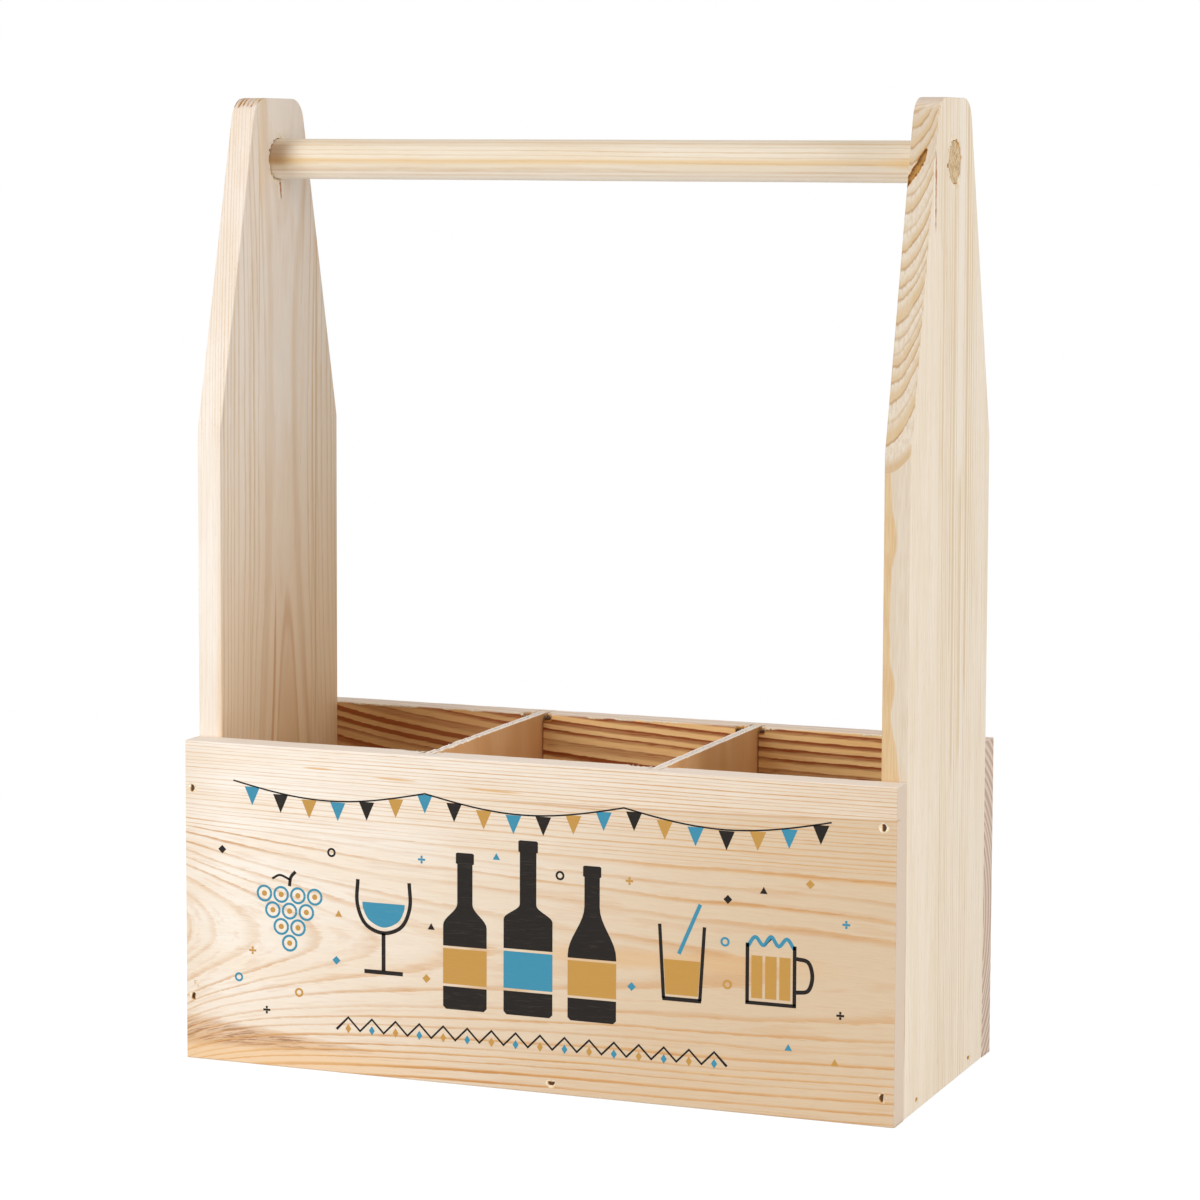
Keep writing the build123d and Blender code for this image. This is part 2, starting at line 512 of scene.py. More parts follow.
def front_accent(m, along, side, deep):
    """Rings are stronger to the right and low down, strongest where they crowd beside the knot.

    They are faint above the middle.
    """
    right = m.step(along, -90.0, 60.0) * 0.45
    low = m.step(side, 48.0, 28.0) * 0.4
    high = m.step(side, 60.0, 72.0) * 0.35 - m.step(side, 92.0, 104.0) * 0.2
    corner = m.step(side, 19.0, 11.0) * m.step(along, 60.0, -70.0) * 1.5
    bundle = m.step((side - 90 + (along + 145) * 0.1).size(), 7.0, 3.0) * m.step(along, -84.0, -125.0) * 1.1
    calm = m.step(along, -100.0, -50.0) * m.step(along, 90.0, 40.0)
    calm = calm * m.step(side, 56.0, 64.0) * m.step(side, 104.0, 96.0)
    return right + low + high + corner + bundle - calm * 0.38 + 0.4


def back_accent(m, along, side, deep):
    """The outer face shows its rings half as strongly as the inner one; both are calmer over the heart."""
    over_heart = m.step((side - back_heart(along)).size(), 20.0, 7.0)
    return 1.0 - m.step(deep, 56.0, 62.0) * m.facing(1) * 0.5 - over_heart * 0.35


def left_accent(m, along, side, deep):
    """The front edge shows its rings where the taper cuts through them, the inner face's middle few."""
    middle = m.step((side - 4).size(), 21.0, 13.0) * m.step(deep, -137.5, -135.5)
    return 1.0 - m.facing(1) * (m.step(along, 250.0, 236.0) * 0.6 + 0.28) - middle * 0.85


def right_accent(m, along, side, deep):
    """Slanting cuts show the rings strongly; the outer face shows them in its middle third only."""
    middle = m.step(side, -21.0, -15.0) * m.step(side, 34.0, 24.0)
    return m.facing(1) + m.facing(0) * (middle * 0.25 + 0.15)


def sapwood_height(x):
    """The lower edge of the sapwood on the front panel: 111 mm up in the middle, a bit more at the right."""
    return x * 0.004 + x * x * 0.0001 + 111.0


def front_warmth(m, along, side, deep):
    """Pale at the upper left, warmer to the right and below, with a paler band of sapwood top right."""
    warm = (m.step(along - side * 0.9, -230.0, 60.0) + m.step(along, -122.0, -150.0) * 0.3).at_most(1.0)
    edge = side - sapwood_height(along) - (m.noise(along / 40, 4.0, 1.0) - 0.5) * 1.5
    return warm * (1.0 - m.step(edge, -0.3, 0.6) * m.step(along, -60.0, 30.0) * 0.42)


def left_painted_shade(m, along, side, deep):
    """Painted shade: the inner face is browner towards its foot and its back edge."""
    low = m.step(along + side * -0.6, 330.0, 60.0)
    return low * m.step(deep, -137.5, -135.5)


def right_warmth(m, along, side, deep):
    """The front edge is browner than the faces."""
    return m.facing(1) * 0.8 * m.step(side, -10.0, -30.0)


def pale_top(m, x, y, z, colour, height):
    """A panel's top face is paler than its sides."""
    top = m.step(z, 125.0, 125.7) * m.facing(2)
    return m.mix(top * 0.75, colour, shade(243, 229, 216)), height


def back_painted_shade(m, x, y, z, colour, height):
    """The back panel is paler on its outer face, out of the board's painted inside shade, and has more
    painted shade inside to the left of the left divider, where the left upright shades it.
    """
    inner = m.step(y, 55.0, 53.5) * m.step(x, -40.0, -52.0)
    colour = m.mix(inner * 0.4, colour, shade(156, 92, 40))
    return m.mix(m.step(y, 56.0, 62.0) * m.facing(1) * 0.76, colour, shade(250, 232, 212)), height


def front_stains(m, x, y, z, colour, height):
    """Marks on the front panel that don't follow its rings.

    A rough brown patch lies in the lower left corner, its strokes following the grain out of the corner,
    with warmer wood round it. A tan patch lies right of the middle, a thin brown line under the sapwood,
    and three short resin streaks near the top.
    """
    outside = m.step(y, -60.0, -63.0)
    away = x + 145
    base = m.step(z, 13.0, 5.0) * m.step(away, 130.0, 40.0) * outside
    colour = m.mix(base * 0.65, colour, shade(229, 188, 136))
    flow = z + (away / -18).maths("EXPONENT") * 9.0
    strokes = m.noise(away / 16, flow * 1.1, 3.0, detail=3.0, roughness=0.7)
    reach = (z - 11.5 + away * 0.03).size() / (6.8 - away * 0.07).maths("MAXIMUM", 0.4)
    patch = m.step(reach + (strokes - 0.5) * 1.5, 1.15, 0.45) * m.step(away, 92.0, 34.0) * outside
    colour = m.mix(patch * 0.6, colour, shade(205, 158, 108))
    colour = m.mix(patch * m.step(strokes, 0.47, 0.6) * 0.75, colour, shade(152, 98, 54))
    fibre = m.noise(x / 20, z * 1.2, 5.0, detail=2.0)
    off = (z - 53.9 - x * 0.018) / (m.noise(x / 18, 7.0, 2.0) * 4.5 + 2.2)
    tan = m.step(off.size() + (fibre - 0.5) * 0.8, 1.2, 0.3) * m.step(x, -14.0, 26.0)
    tan = tan * m.step(x, 142.0, 66.0)
    colour = m.mix(tan * outside * 0.75, colour, shade(216, 178, 132))
    edge = (z - sapwood_height(x)).size()
    line = m.step(edge, 0.55, 0.12) * m.step(x, -50.0, 20.0) * (m.noise(x / 16, 9.0, 1.0) * 0.8 + 0.2)
    colour = m.mix(line * outside * 0.85, colour, shade(192, 140, 86))
    for along, up, half in ((-87.5, 118.3, 8.0), (-55.0, 116.2, 11.0), (-14.0, 114.4, 14.0)):
        lens = ((x - along) / half) ** 2 + ((z - up - (x - along) * -0.02) / 0.5) ** 2
        colour = m.mix(m.step(lens, 1.0, 0.2) * outside * 0.75, colour, shade(216, 166, 98))
    return colour, height + patch * m.step(strokes, 0.5, 0.66) * -0.8


def streaks(m, colour, across, along, tone, table):
    """Streaks along the grain in one tone: (place across, half width, strength, lower end, upper end)."""
    for place, half, force, low, high in table:
        here = m.step((across - place).size(), half + 0.4, half * 0.7) * force
        here = here * m.step(along, low - 8.0, low + 8.0) * m.step(along, high + 10.0, high - 10.0)
        colour = m.mix(here, colour, shade(*tone))
    return colour


def left_streaks(m, x, y, z, colour, height):
    """The left upright's inner face: two soft tan bands that come closest 260 mm up, and a few thin lines.

    Between the bands a brown arch stands at the foot, with a brown line beside it, and there is a tan
    streak at the top.
    """
    inside = m.step(x, -138.0, -136.0)
    wave = (m.noise(z / 24, 2.0, 5.0) - 0.5) * 1.4
    fine = m.noise(y * 1.6, z / 30, 4.0, detail=2.0)
    low = m.step(z, 300.0, 130.0)
    from_waist = ((z - 262.0) / 52.0) ** 2
    left_off = (y + 8.4 + from_waist * 1.2 + wave).size()
    spread = ((z - 262.0) / 15.0).maths("TANH") * 1.4 + 3.0
    right_off = (y - 12.6 - from_waist * spread + wave * -0.8).size()
    patchy = m.noise(z / 55, y / 14, 8.0, detail=1.0) * 0.8 + 0.3
    # Low down the bands take a browner tan: painted shade, like the rest of the inner face towards its foot.
    for off, half, force in ((left_off, 2.6, 0.42), (right_off, 3.2, 0.5)):
        share = m.step(off + (fine - 0.5) * 2.4, half + 1.2, half * 0.2) * patchy * force
        colour = m.mix(share * inside, colour, m.mix(low, shade(212, 180, 140), shade(200, 156, 108)))
    arch = 170.0 - (y - 5.8) ** 2 * 0.56 - z + (fine - 0.5) * 9.0
    within = m.step(arch, -4.0, 6.0) * inside
    colour = m.mix(within * (m.step(z, 180.0, 120.0) * 0.2 + 0.14), colour, shade(198, 148, 92))
    border = m.step(arch.size(), 13.0, 0.0) * inside
    colour = m.mix(border * 0.42, colour, shade(194, 138, 82))
    off = (y + 4.9 + ((187.0 - z).maths("MAXIMUM", 0.0) / 58.0) ** 2 * 2.6 + wave * 0.4).size()
    wide = m.step(z, 180.0, 150.0)
    line = m.step(off, wide + 0.5, wide * 0.5 + 0.1) * m.step(z, 196.0, 164.0)
    colour = m.mix(line * inside * 0.6, colour, shade(192, 128, 62))
    bent = y - (z - 126.0) * 0.012
    colour = m.mix(m.step(z, 230.0, 330.0) * 0.14, colour, shade(204, 168, 134))
    fine_lines = streaks(m, colour, bent + wave * 0.3, z, (206, 168, 120), (
        (-20.5, 0.3, 0.5, 285.0, 350.0), (28.0, 0.35, 0.45, 120.0, 265.0),
        (31.5, 0.6, 0.7, 120.0, 330.0), (-28.0, 0.5, 0.35, 120.0, 300.0)))
    fine_lines = streaks(m, fine_lines, y + (fine - 0.5) * 1.6, z, (224, 196, 152),
                         ((-15.9, 2.2, 0.4, 334.0, 390.0),))
    return m.mix(inside, colour, fine_lines), height


def right_streaks(m, x, y, z, colour, height):
    """The right upright's outer face: tan lines in its middle third, and pale streaks between them."""
    outside = m.step(x, 143.0, 144.6)
    wave = (m.noise(z / 40, 6.0, 1.0) - 0.5) * 0.8
    bent = y - (376.0 - z) * 0.011 + wave
    painted = streaks(m, colour, bent, z, (238, 229, 217), (
        (8.8, 3.4, 0.5, 235.0, 390.0), (14.0, 1.0, 0.5, 100.0, 215.0), (3.4, 0.5, 0.5, 100.0, 230.0),
        (-0.6, 0.5, 0.4, 150.0, 250.0)))
    painted = streaks(m, painted, bent, z, (208, 176, 128), (
        (-14.0, 0.55, 0.55, 235.0, 352.0), (-9.0, 0.3, 0.25, 200.0, 345.0), (-2.6, 0.4, 0.45, 170.0, 345.0),
        (0.9, 1.2, 0.55, 120.0, 343.0), (10.4, 1.9, 0.42, 126.0, 232.0), (18.6, 0.9, 0.6, 150.0, 385.0),
        (21.8, 0.35, 0.45, 190.0, 360.0), (24.6, 0.5, 0.5, 200.0, 330.0), (27.6, 0.3, 0.35, 190.0, 300.0)))
    painted = streaks(m, painted, y + wave * 0.5, z, (214, 186, 150), (
        (-23.0, 0.3, 0.4, 335.0, 385.0), (-20.0, 0.3, 0.4, 330.0, 385.0), (-17.4, 0.4, 0.4, 325.0, 385.0)))
    return m.mix(outside, colour, painted), height


# Rings cut by the right upright's front taper: (height at its inner corner, width of the tan band, strength)
taper_rings = (
    (375.0, 1.6, 0.5), (370.0, 1.6, 0.6), (364.0, 2.4, 0.75), (357.0, 2.6, 0.8), (351.0, 2.0, 0.75),
    (339.5, 1.4, 0.4), (333.0, 3.0, 0.75), (326.0, 1.6, 0.35), (319.0, 2.8, 0.8), (312.5, 2.4, 0.65),
    (306.0, 2.2, 0.65), (301.0, 1.8, 0.6), (293.0, 4.2, 0.8), (287.0, 1.8, 0.5), (282.0, 1.4, 0.35),
    (277.0, 3.2, 0.75), (271.0, 3.0, 0.7), (264.0, 3.4, 0.75), (257.0, 1.4, 0.3), (249.0, 5.0, 0.85))


def right_edge_stain(m, x, y, z, colour, height):
    """The right upright's front edge, on its taper and below its shoulder.

    On the taper the rings rise to the outer side, slowly, then steeply: a tan band over a thin darker line
    each. Below the shoulder it is tan inside and greyish white outside, and the border between them wanders
    with three bulges of the tan: at 215, at 160 and from 150 mm down.
    """
    out = (x - 135.0).maths("MAXIMUM", 0.0)
    over = z - 239.0 - out * out * 0.07
    square_on = m.step(m.facing(1), 0.6, 0.9)
    taper = square_on * m.step(y, -18.0, -22.0) * m.step(over, -0.4, 0.4)
    fibres = m.noise(x * 1.2, z / 3.0, 2.0, detail=2.0, roughness=0.6)
    wave = (m.noise(x / 5, z / 11, 6.0, detail=1.0) - 0.5) * 3.2 + (fibres - 0.5) * 1.6
    level = z - out * 0.05 - out * out * 0.15 + wave
    fade = m.noise(x / 3, z / 7, 9.0, detail=1.0)
    worn = m.mix(m.step(fibres, 0.4, 0.65), shade(223, 209, 190), shade(213, 196, 173))
    worn = m.mix(m.step(z, 340.0, 360.0) * 0.5, worn, shade(204, 181, 154))
    tan_share, dark = 0.0, 0.0
    for ring, width, force in taper_rings:
        off = level - ring
        tan_share = m.step(off, -0.5, 0.5) * m.step(off, width * 1.9, width * 0.5) * force + tan_share
        dark = m.step((off - 0.2).size(), 0.95, 0.25) * force + dark
    cut = m.mix((tan_share * (fade * 0.7 + 0.6)).at_most(1.0), worn, shade(206, 176, 130))
    cut = m.mix((dark * (fade * 0.7 + 0.35)).at_most(1.0), cut, shade(168, 124, 80))
    colour = m.mix(taper, colour, cut)
    front = square_on * m.step(y, -51.5, -52.5)
    border = m.step(z, 156.0, 127.0) * 4.0 + (m.noise(z / 9, 3.0, 8.0, detail=2.0) - 0.5) * 1.6 + 137.7
    for bulge, reach in ((215.0, 9.0), (160.0, 7.0)):
        border = (((z - bulge) / reach) ** 2 * -1.0).maths("EXPONENT") * 2.2 + border
    under = m.step(over, 0.4, -0.4) * front
    last_ring = m.step(over, -0.3, 0.3) * m.step(over, 6.5, 1.5) * m.step(y, -50.0, -51.0) * square_on
    colour = m.mix(last_ring * 0.75, colour, shade(201, 166, 117))
    grain = m.noise(x * 2.2, z / 14, 4.0, detail=2.0)
    pale = m.mix(m.step(grain, 0.42, 0.62), shade(220, 206, 187), shade(214, 197, 174))
    tan = m.mix(m.step(grain, 0.4, 0.62), shade(219, 189, 145), shade(210, 176, 130))
    both = m.mix(m.step(x - border, -0.35, 0.45), tan, pale)
    return m.mix(under * 0.9, colour, both), height


# Camera, light and floor

camera = add_object("camera", bpy.data.cameras.new("camera"))
bpy.context.scene.camera = camera
camera.data.sensor_width = 36.0
camera.data.lens = 114.155
camera.data.shift_y = -0.08333
right_way = Vector((0.931206, 0.364475, 0.003656))
up_way = Vector((-0.036968, 0.084461, 0.995741))
view_way = Vector((-0.362614, 0.927375, -0.092124))
camera_place = (0.541152, -1.375793, 0.356769)
camera_turn = Matrix((right_way, up_way, -view_way)).transposed()
camera.matrix_world = Matrix.Translation(camera_place) @ camera_turn.to_4x4()
bpy.context.scene.view_settings.view_transform = "Standard"


def lamp(name, place, aim, size, power):
    """A square soft lamp that faces a point."""
    made = add_object(name, bpy.data.lights.new(name, "AREA"))
    made.data.size, made.data.energy = size, power
    made.location = place
    made.visible_camera = False
    made.rotation_euler = (Vector(aim) - Vector(place)).to_track_quat("-Z", "Y").to_euler()


lamp("front_left_lamp", (-0.8, -1.25, 0.34), (-0.05, 0.0, 0.17), 0.7, 10.0)
lamp("high_lamp", (-0.6, -0.7, 1.1), (0.0, 0.0, 0.1), 0.4, 2.8)
lamp("right_lamp", (0.98, -0.3, 0.42), (0.1, 0.0, 0.2), 0.5, 4.5)
lamp("top_lamp", (0.2, 0.2, 1.7), (0.0, 0.0, 0.1), 1.0, 2.5)


# How strong the even light from all round is
soft_light = 0.46


def add_sky():
    """The world: an even soft light on the caddy, and plain white for the rays that see it."""
    world = bpy.data.worlds.new("studio")
    bpy.context.scene.world = world
    m = Finish(world)
    soft, plain = (m.node("ShaderNodeBackground", values=[(1.0, 1.0, 1.0, 1.0), strength])
                   for strength in (soft_light, 1.0))
    both = m.node("ShaderNodeMixShader", values=[m.looked_at(), soft, plain])
    m.node("ShaderNodeOutputWorld", values=[both])


add_sky()


# Where the floor is gone and where it starts to fade, and the rings of points that it is made of
floor_fade = (620.0, 330.0)
floor_rings = (60.0, 330.0, 480.0, 640.0)
floor_corners, floor_drop = 64, 0.2


def floor_finish():
    """White paper that fades into the white background well away from the caddy.

    The camera and mirrors see it lifted to white, which lights nothing.
    """
    m = Finish(bpy.data.materials.new("floor_paper"))
    x, y, z = m.place()
    away = (x ** 2.0 + y ** 2.0) ** 0.5
    tooth = m.noise(x / 3, y / 3, 0.0, detail=2.0)
    shader = m.node("ShaderNodeBsdfPrincipled", values={
        "Base Color": (0.78, 0.78, 0.78, 1.0), "Roughness": tooth * 0.1 + 0.85, "Specular IOR Level": 0.1,
        "Emission Color": m.grey(m.looked_at()), "Emission Strength": 0.5,
        "Alpha": m.step(away, *floor_fade)})
    m.node("ShaderNodeOutputMaterial", values=[shader])
    return m.owner


def add_floor():
    """A round sheet under the caddy: rings of points out from the middle."""
    turn = np.linspace(0.0, 2 * np.pi, floor_corners + 1)[:-1]
    out = np.array(floor_rings)[:, None]
    x, y = out * np.cos(turn), out * np.sin(turn)
    points = np.stack([x, y, np.full(x.shape, -floor_drop)], -1).reshape(-1, 3)
    grid = closed(np.arange(x.size).reshape(x.shape))
    faces = quads_of(grid).tolist() + [list(range(floor_corners))]
    add_object("floor", new_mesh("floor", points, faces, floor_finish()))


add_floor()


# Panels

# The pit over a brad's head: half its width and its length, and its depth
pit_half_width, pit_half_length, pit_depth = 0.74, 1.42, 1.25

# Fine runs of grid lines (reach, step) round a brad in a panel and in an upright, and round a groove
panel_brad_run, upright_brad_run, groove_run = (2.6, 0.24), (2.6, 0.26), (8.0, 0.4)


def brad_pits(across, up, brads, seed, level=False):
    """How deep the wood is sunk round each brad, how torn it is and how brown.

    A pit is a slightly curved slot just over the brad's head in size, upright or level. Its rim is
    chipped along the grain where stretched noise is high.
    """
    pit, torn, stain = np.zeros(across.shape), np.zeros(across.shape), np.zeros(across.shape)
    for number, (a, b) in enumerate(brads):
        da, db = across - a, up - b
        thin, long = (db, da) if level else (da, db)
        bend = 0.35 if rough(seed + 90 + number, 0.5) > 0.5 else -0.35
        thin = thin + bend * (long * long / 1.9 - 0.3)
        wobble = 0.85 + 0.3 * rough(seed + number, da * 1.3, db * 1.3)
        out = (np.abs(thin) / pit_half_width) ** 2.5 + (np.abs(long) / pit_half_length) ** 2.5
        out = out ** 0.4 / wobble
        pit = np.maximum(pit, pit_depth * (1.0 - smooth(out, 0.75, 1.1)))
        chips = rough(seed + 40 + number, da * 0.8, db * 1.1)
        near = 1.0 - smooth(np.hypot(da / 1.2, db), 1.3, 2.3)
        chipped = smooth(chips * near, 0.3, 0.4) * smooth(out, 0.9, 1.1)
        pit += 0.16 * chipped
        torn = np.maximum(torn, 0.8 * chipped)
        torn = np.maximum(torn, 0.32 * (1.0 - smooth(np.abs(out - 1.35), 0.15, 0.45)))
        blotch = 0.78 + 0.22 * rough(seed + number, da * 2 + 9, db)
        stain = np.maximum(stain, (1.0 - smooth(out, 0.85, 1.12)) * blotch)
    return pit, torn, stain


def dents(across, up, places):
    """Small torn chips (along, up, reach): how deep each is, with an edge that noise makes ragged."""
    sunk = np.zeros(across.shape)
    for number, (a, b, reach) in enumerate(places):
        ragged = 0.55 + 0.9 * rough(70 + number, across * 1.2, up * 1.2)
        sunk = np.maximum(sunk, 1.0 - smooth(np.hypot(across - a, up - b) / reach / ragged, 0.6, 1.1))
    return sunk


def groove_cut(along):
    """How deep the two grooves are at a place along a panel's inner face."""
    cut = np.zeros(along.shape)
    for place in groove_places:
        cut = np.where(np.abs(along - place) < groove_half_width, groove_depth, cut)
    return cut


# Torn places along a panel's inner top edge: (along, half length, reach into the edge, depth)
front_chips = ((-50.2, 3.6, 2.2, 1.5), (-41.0, 1.6, 1.2, 0.8), (41.6, 4.6, 2.2, 1.4), (53.4, 2.2, 1.4, 0.9))
back_chips = ((-49.4, 2.0, 3.6, 1.9), (-40.6, 2.2, 3.2, 1.4), (43.8, 2.6, 3.8, 2.1), (52.6, 1.7, 2.6, 1.2))


def top_chips(along, inward, chips, seed):
    """How far the top edge is torn away, and a torn mark, from noise-edged pits along the inner edge."""
    sunk, torn = np.zeros(along.shape), np.zeros(along.shape)
    for number, (middle, half, reach, depth) in enumerate(chips):
        jag = 0.7 + 0.6 * rough(seed + number, along * 1.1, inward * 0.9)
        out = np.hypot((along - middle) / half, inward / reach) / jag
        here = 1.0 - smooth(out, 0.7, 1.05)
        sunk = np.maximum(sunk, depth * here * (0.6 + 0.8 * rough(seed + 9, along * 2.2, inward * 1.6)))
        torn = np.maximum(torn, here)
    return sunk, torn


def panel(name, side, chips, seed, finish, outer_dents=(), face_drop=0.0, mouth_stain=0.0):
    """A long board. Its face grid is along by up; its thickness runs inwards from the outer face.

    The grooves push the inner face outwards, brads and dents sink the outer face, and torn places lower
    the top edge and widen the mouths of the grooves. face_drop sinks the whole outer face a hair, and
    mouth_stain is how brown the torn places are.
    """
    walls = [place + way * (groove_half_width + off) for place in groove_places
             for way in (-1, 1) for off in (-0.012, 0.012)]
    brad_lines = sorted({a for a, b in panel_brads})
    across = stations(-half_length, half_length, 4.0,
                      [(a, *panel_brad_run) for a in brad_lines] + [(g, *groove_run) for g in groove_places],
                      walls + [-half_length + 0.9, half_length - 0.9])
    brads_and_dents = (*panel_brads, *[dent[:2] for dent in outer_dents])
    up = stations(0.0, panel_height, 4.0,
                  [(b, *panel_brad_run) for a, b in brads_and_dents] + [(panel_height - 2.4, 2.4, 0.4)],
                  [1.1, panel_height - 1.1])
    full = np.stack(np.meshgrid(across, up, indexing="ij"), -1)
    inset = drawn_in(full, np.array([-half_length, 0.0]), np.array([half_length, panel_height]), eased_edge)
    spots = np.concatenate([np.linspace(1.0, 6.0, 6), np.arange(6.6, 11.6, 0.55)])
    along, height, depth, quads = slab(full, inset, panel_thickness, spots)
    inward = panel_thickness - depth
    # torn mouths: the groove's walls spread near the top
    spread = np.zeros(along.shape)
    for place in groove_places:
        off = along - place
        ragged = rough(seed + 3, height * 0.9, np.sign(off) * 5) * np.exp((height - panel_height) / 2.2)
        from_wall = np.abs(np.abs(off) - groove_half_width)
        spread += np.sign(off) * 1.1 * ragged * (1.0 - smooth(from_wall, 0.1, 3.0))
    cut = groove_cut(along)
    along = along + spread * smooth(depth, 5.0, 9.0)
    # torn top edge
    sunk, torn = top_chips(along, np.minimum(inward, 9.0), chips, seed)
    fuzz = rough(seed + 7, along * 0.7, depth * 0.9) * rough(seed + 8, along * 0.08, depth * 0.3)
    lowered = sunk + 0.22 * fuzz
    top = height.copy()
    height = height - lowered * smooth(top, panel_height - 5.0, panel_height)
    torn = torn * smooth(top, panel_height - 2.5, panel_height - 0.6)
    ragged = rough(seed + 9, along * 1.3, 0.5) * rough(seed + 10, along * 0.25, 0.5)
    rim = smooth(depth, 10.9, 11.7) * smooth(top, panel_height - 1.2, panel_height - 0.3)
    torn = np.maximum(torn, rim * smooth(ragged, 0.12, 0.4))
    # brads and small chips in the outer face
    pit, chipped, brown = (np.maximum(first, second) for first, second in zip(
        brad_pits(along, height, panel_brads[:4], seed + 20),
        brad_pits(along, height, panel_brads[4:], seed + 26, level=True)))
    dent = dents(along, height, outer_dents)
    pit = pit + 0.45 * dent
    outer = depth < tiny
    torn = np.maximum(torn, np.where(outer, np.maximum(chipped, smooth(dent, 0.3, 0.7)), 0.0))
    brown = np.maximum(brown, 0.45 * (1.0 - smooth(np.abs(dent - 0.25), 0.1, 0.25)))
    stain = np.where(outer, brown, 0.0)
    at_top = smooth(top, panel_height - 3.0, panel_height - 0.6)
    stain = np.maximum(stain, mouth_stain * smooth(sunk, 0.35, 1.1) * at_top)
    deep = np.where(outer, pit + face_drop, 0.0) + depth * (1.0 - cut / panel_thickness)
    points = np.stack([along, side * (half_depth - deep), height], -1)
    if side > 0:
        quads = quads[:, ::-1]
    chance = np.random.default_rng(seed)
    roots = [[middle + chance.uniform(-half, half), side * (inside_half_depth + chance.uniform(0.1, reach)),
              panel_height - 0.4 - 0.5 * chip_depth]
             for middle, half, reach, chip_depth in chips for _ in range(9)]
    loose = [[chance.uniform(-138, 138), side * (inside_half_depth + 0.3), panel_height - 0.35]
             for _ in range(60)]
    points, faces, marks = with_slivers(points, quads, {"torn": torn, "stain": stain},
                                        slivers(seed, roots, (0.3, -0.4 * side, 0.35), 1.3),
                                        slivers(seed + 1, loose, (0.9, -0.5 * side, 0.05), 0.7))
    piece(name + "_wood", points, faces, finish, "caddy", [name], marks)


front_look = dict(
    grain="x", rings=front_rings, ring_width=2.0, pale=(244, 235, 223), rich=(239, 223, 202),
    late_wood=(190, 134, 76), strength=0.8, seed=1.0, band=(222, 184, 134), warmth=front_warmth,
    warm=(212, 188, 157), accent=front_accent, wander=0.9, late_share=0.26, rise=0.36,
    end_tint=(221, 202, 182), end_lines=0.12, line_share=0.62, hairs=0.2, spots=[front_stains, pale_top])
front_wood = wood("front_pine", marks=True, **front_look)
# The back panel's orange colours and dark late wood are painted shade and warm bounce light of the caddy's
# inside.
back_wood = wood(
    "back_pine", grain="x", rings=back_rings, ring_width=3.3, pale=(255, 214, 150), rich=(246, 194, 122),
    late_wood=(156, 78, 24), strength=1.15, seed=2.0, wander=0.8, late_share=0.52, rise=0.28,
    accent=back_accent, end_tint=(224, 203, 186), end_lines=0.5, marks=True, spots=[back_painted_shade, pale_top])
front_dents = ((-140.8, 30.4, 0.9), (-139.6, 28.6, 0.6), (-138.2, 24.6, 0.45))
panel("front_panel", -1, front_chips, 11, front_wood, front_dents, print_rise, mouth_stain=0.25)
panel("back_panel", 1, back_chips, 12, back_wood, mouth_stain=0.9)


# Print on the front

# The picture is drawn in (along, up): bottles in the middle, a glass and grapes to their left, a tumbler
# and a mug to their right, a zigzag under them, pennants over them and small shapes round them.

def plate(outline):
    """A flat closed plate: an outline, counter-clockwise, as its front and its back, and a wall between."""
    count = len(outline)
    index = np.arange(count)
    after = np.roll(index, -1)
    walls = np.stack([index, index + count, after + count, after], -1)
    return outline, [index.tolist(), (index[::-1] + count).tolist(), *walls.tolist()]


def ribbon(path, width):
    """A closed plate along a path: two sides half a width off it, joined by quads, ended by flat caps."""
    path = np.asarray(path, float)
    way = np.gradient(path, axis=0)
    across = np.stack([-way[:, 1], way[:, 0]], -1) / np.hypot(*way.T)[:, None] * width / 2
    return plate(np.concatenate([path - across, (path + across)[::-1]]))


def curve(corners, steps=7):
    """A smooth line through corners: between two of them a cubic that leans on the next ones out."""
    p = np.asarray(corners, float)
    p = np.concatenate([2 * p[:1] - p[1:2], p, 2 * p[-1:] - p[-2:-1]])
    a, b, c, d = p[:-3, None], p[1:-2, None], p[2:-1, None], p[3:, None]
    t = np.linspace(0.0, 1.0, steps, endpoint=False)[None, :, None]
    line = b + 0.5 * ((c - a) * t + (2 * a - 5 * b + 4 * c - d) * t ** 2 + (3 * b - a - 3 * c + d) * t ** 3)
    return np.concatenate([line.reshape(-1, 2), p[-2:-1]])


def spot_of(radius, corners=20, start=0.0):
    """A regular outline: points at equal turns round a middle."""
    turn = start + np.arange(corners) * 2 * np.pi / corners
    return radius * np.stack([np.cos(turn), np.sin(turn)], -1)


def loop(radius, width):
    """A ring, drawn as a ribbon round a circle whose ends just meet."""
    turn = np.linspace(0.0, 2 * np.pi - 0.02, 25)
    return ribbon(radius * np.stack([np.cos(turn), np.sin(turn)], -1), width)


def bottle(half, body, shoulder, neck, height, label):
    """A bottle's outline in two parts, with a gap for its label: straight, a cosine shoulder, a neck."""
    low, high = label
    turn = np.linspace(0.0, np.pi, 9)
    rise = np.stack([neck + (half - neck) * (0.5 + 0.5 * np.cos(turn)), body + shoulder * turn / np.pi], -1)
    lip = [(neck, height - 4.5), (neck + 0.6, height - 4.2), (neck + 0.6, height - 0.4), (neck, height)]
    right = np.concatenate([[(half, high)], rise, lip])
    upper = np.concatenate([right, (right * [-1, 1])[::-1]])
    foot = np.array([(half - 1.2, 0.0), (half, 1.2), (half, low)])
    return plate(np.concatenate([foot, (foot * [-1, 1])[::-1]])), plate(upper)


def box_of(left, low, right, high):
    """A rectangle's outline."""
    return np.array([(left, low), (right, low), (right, high), (left, high)], float)


ink = {"black": [], "teal": [], "ochre": []}


def draw(colour, shapes, along, up, size=1.0):
    """Puts plates into the picture."""
    ink[colour] += [(points * size + [along, up], faces) for points, faces in shapes]


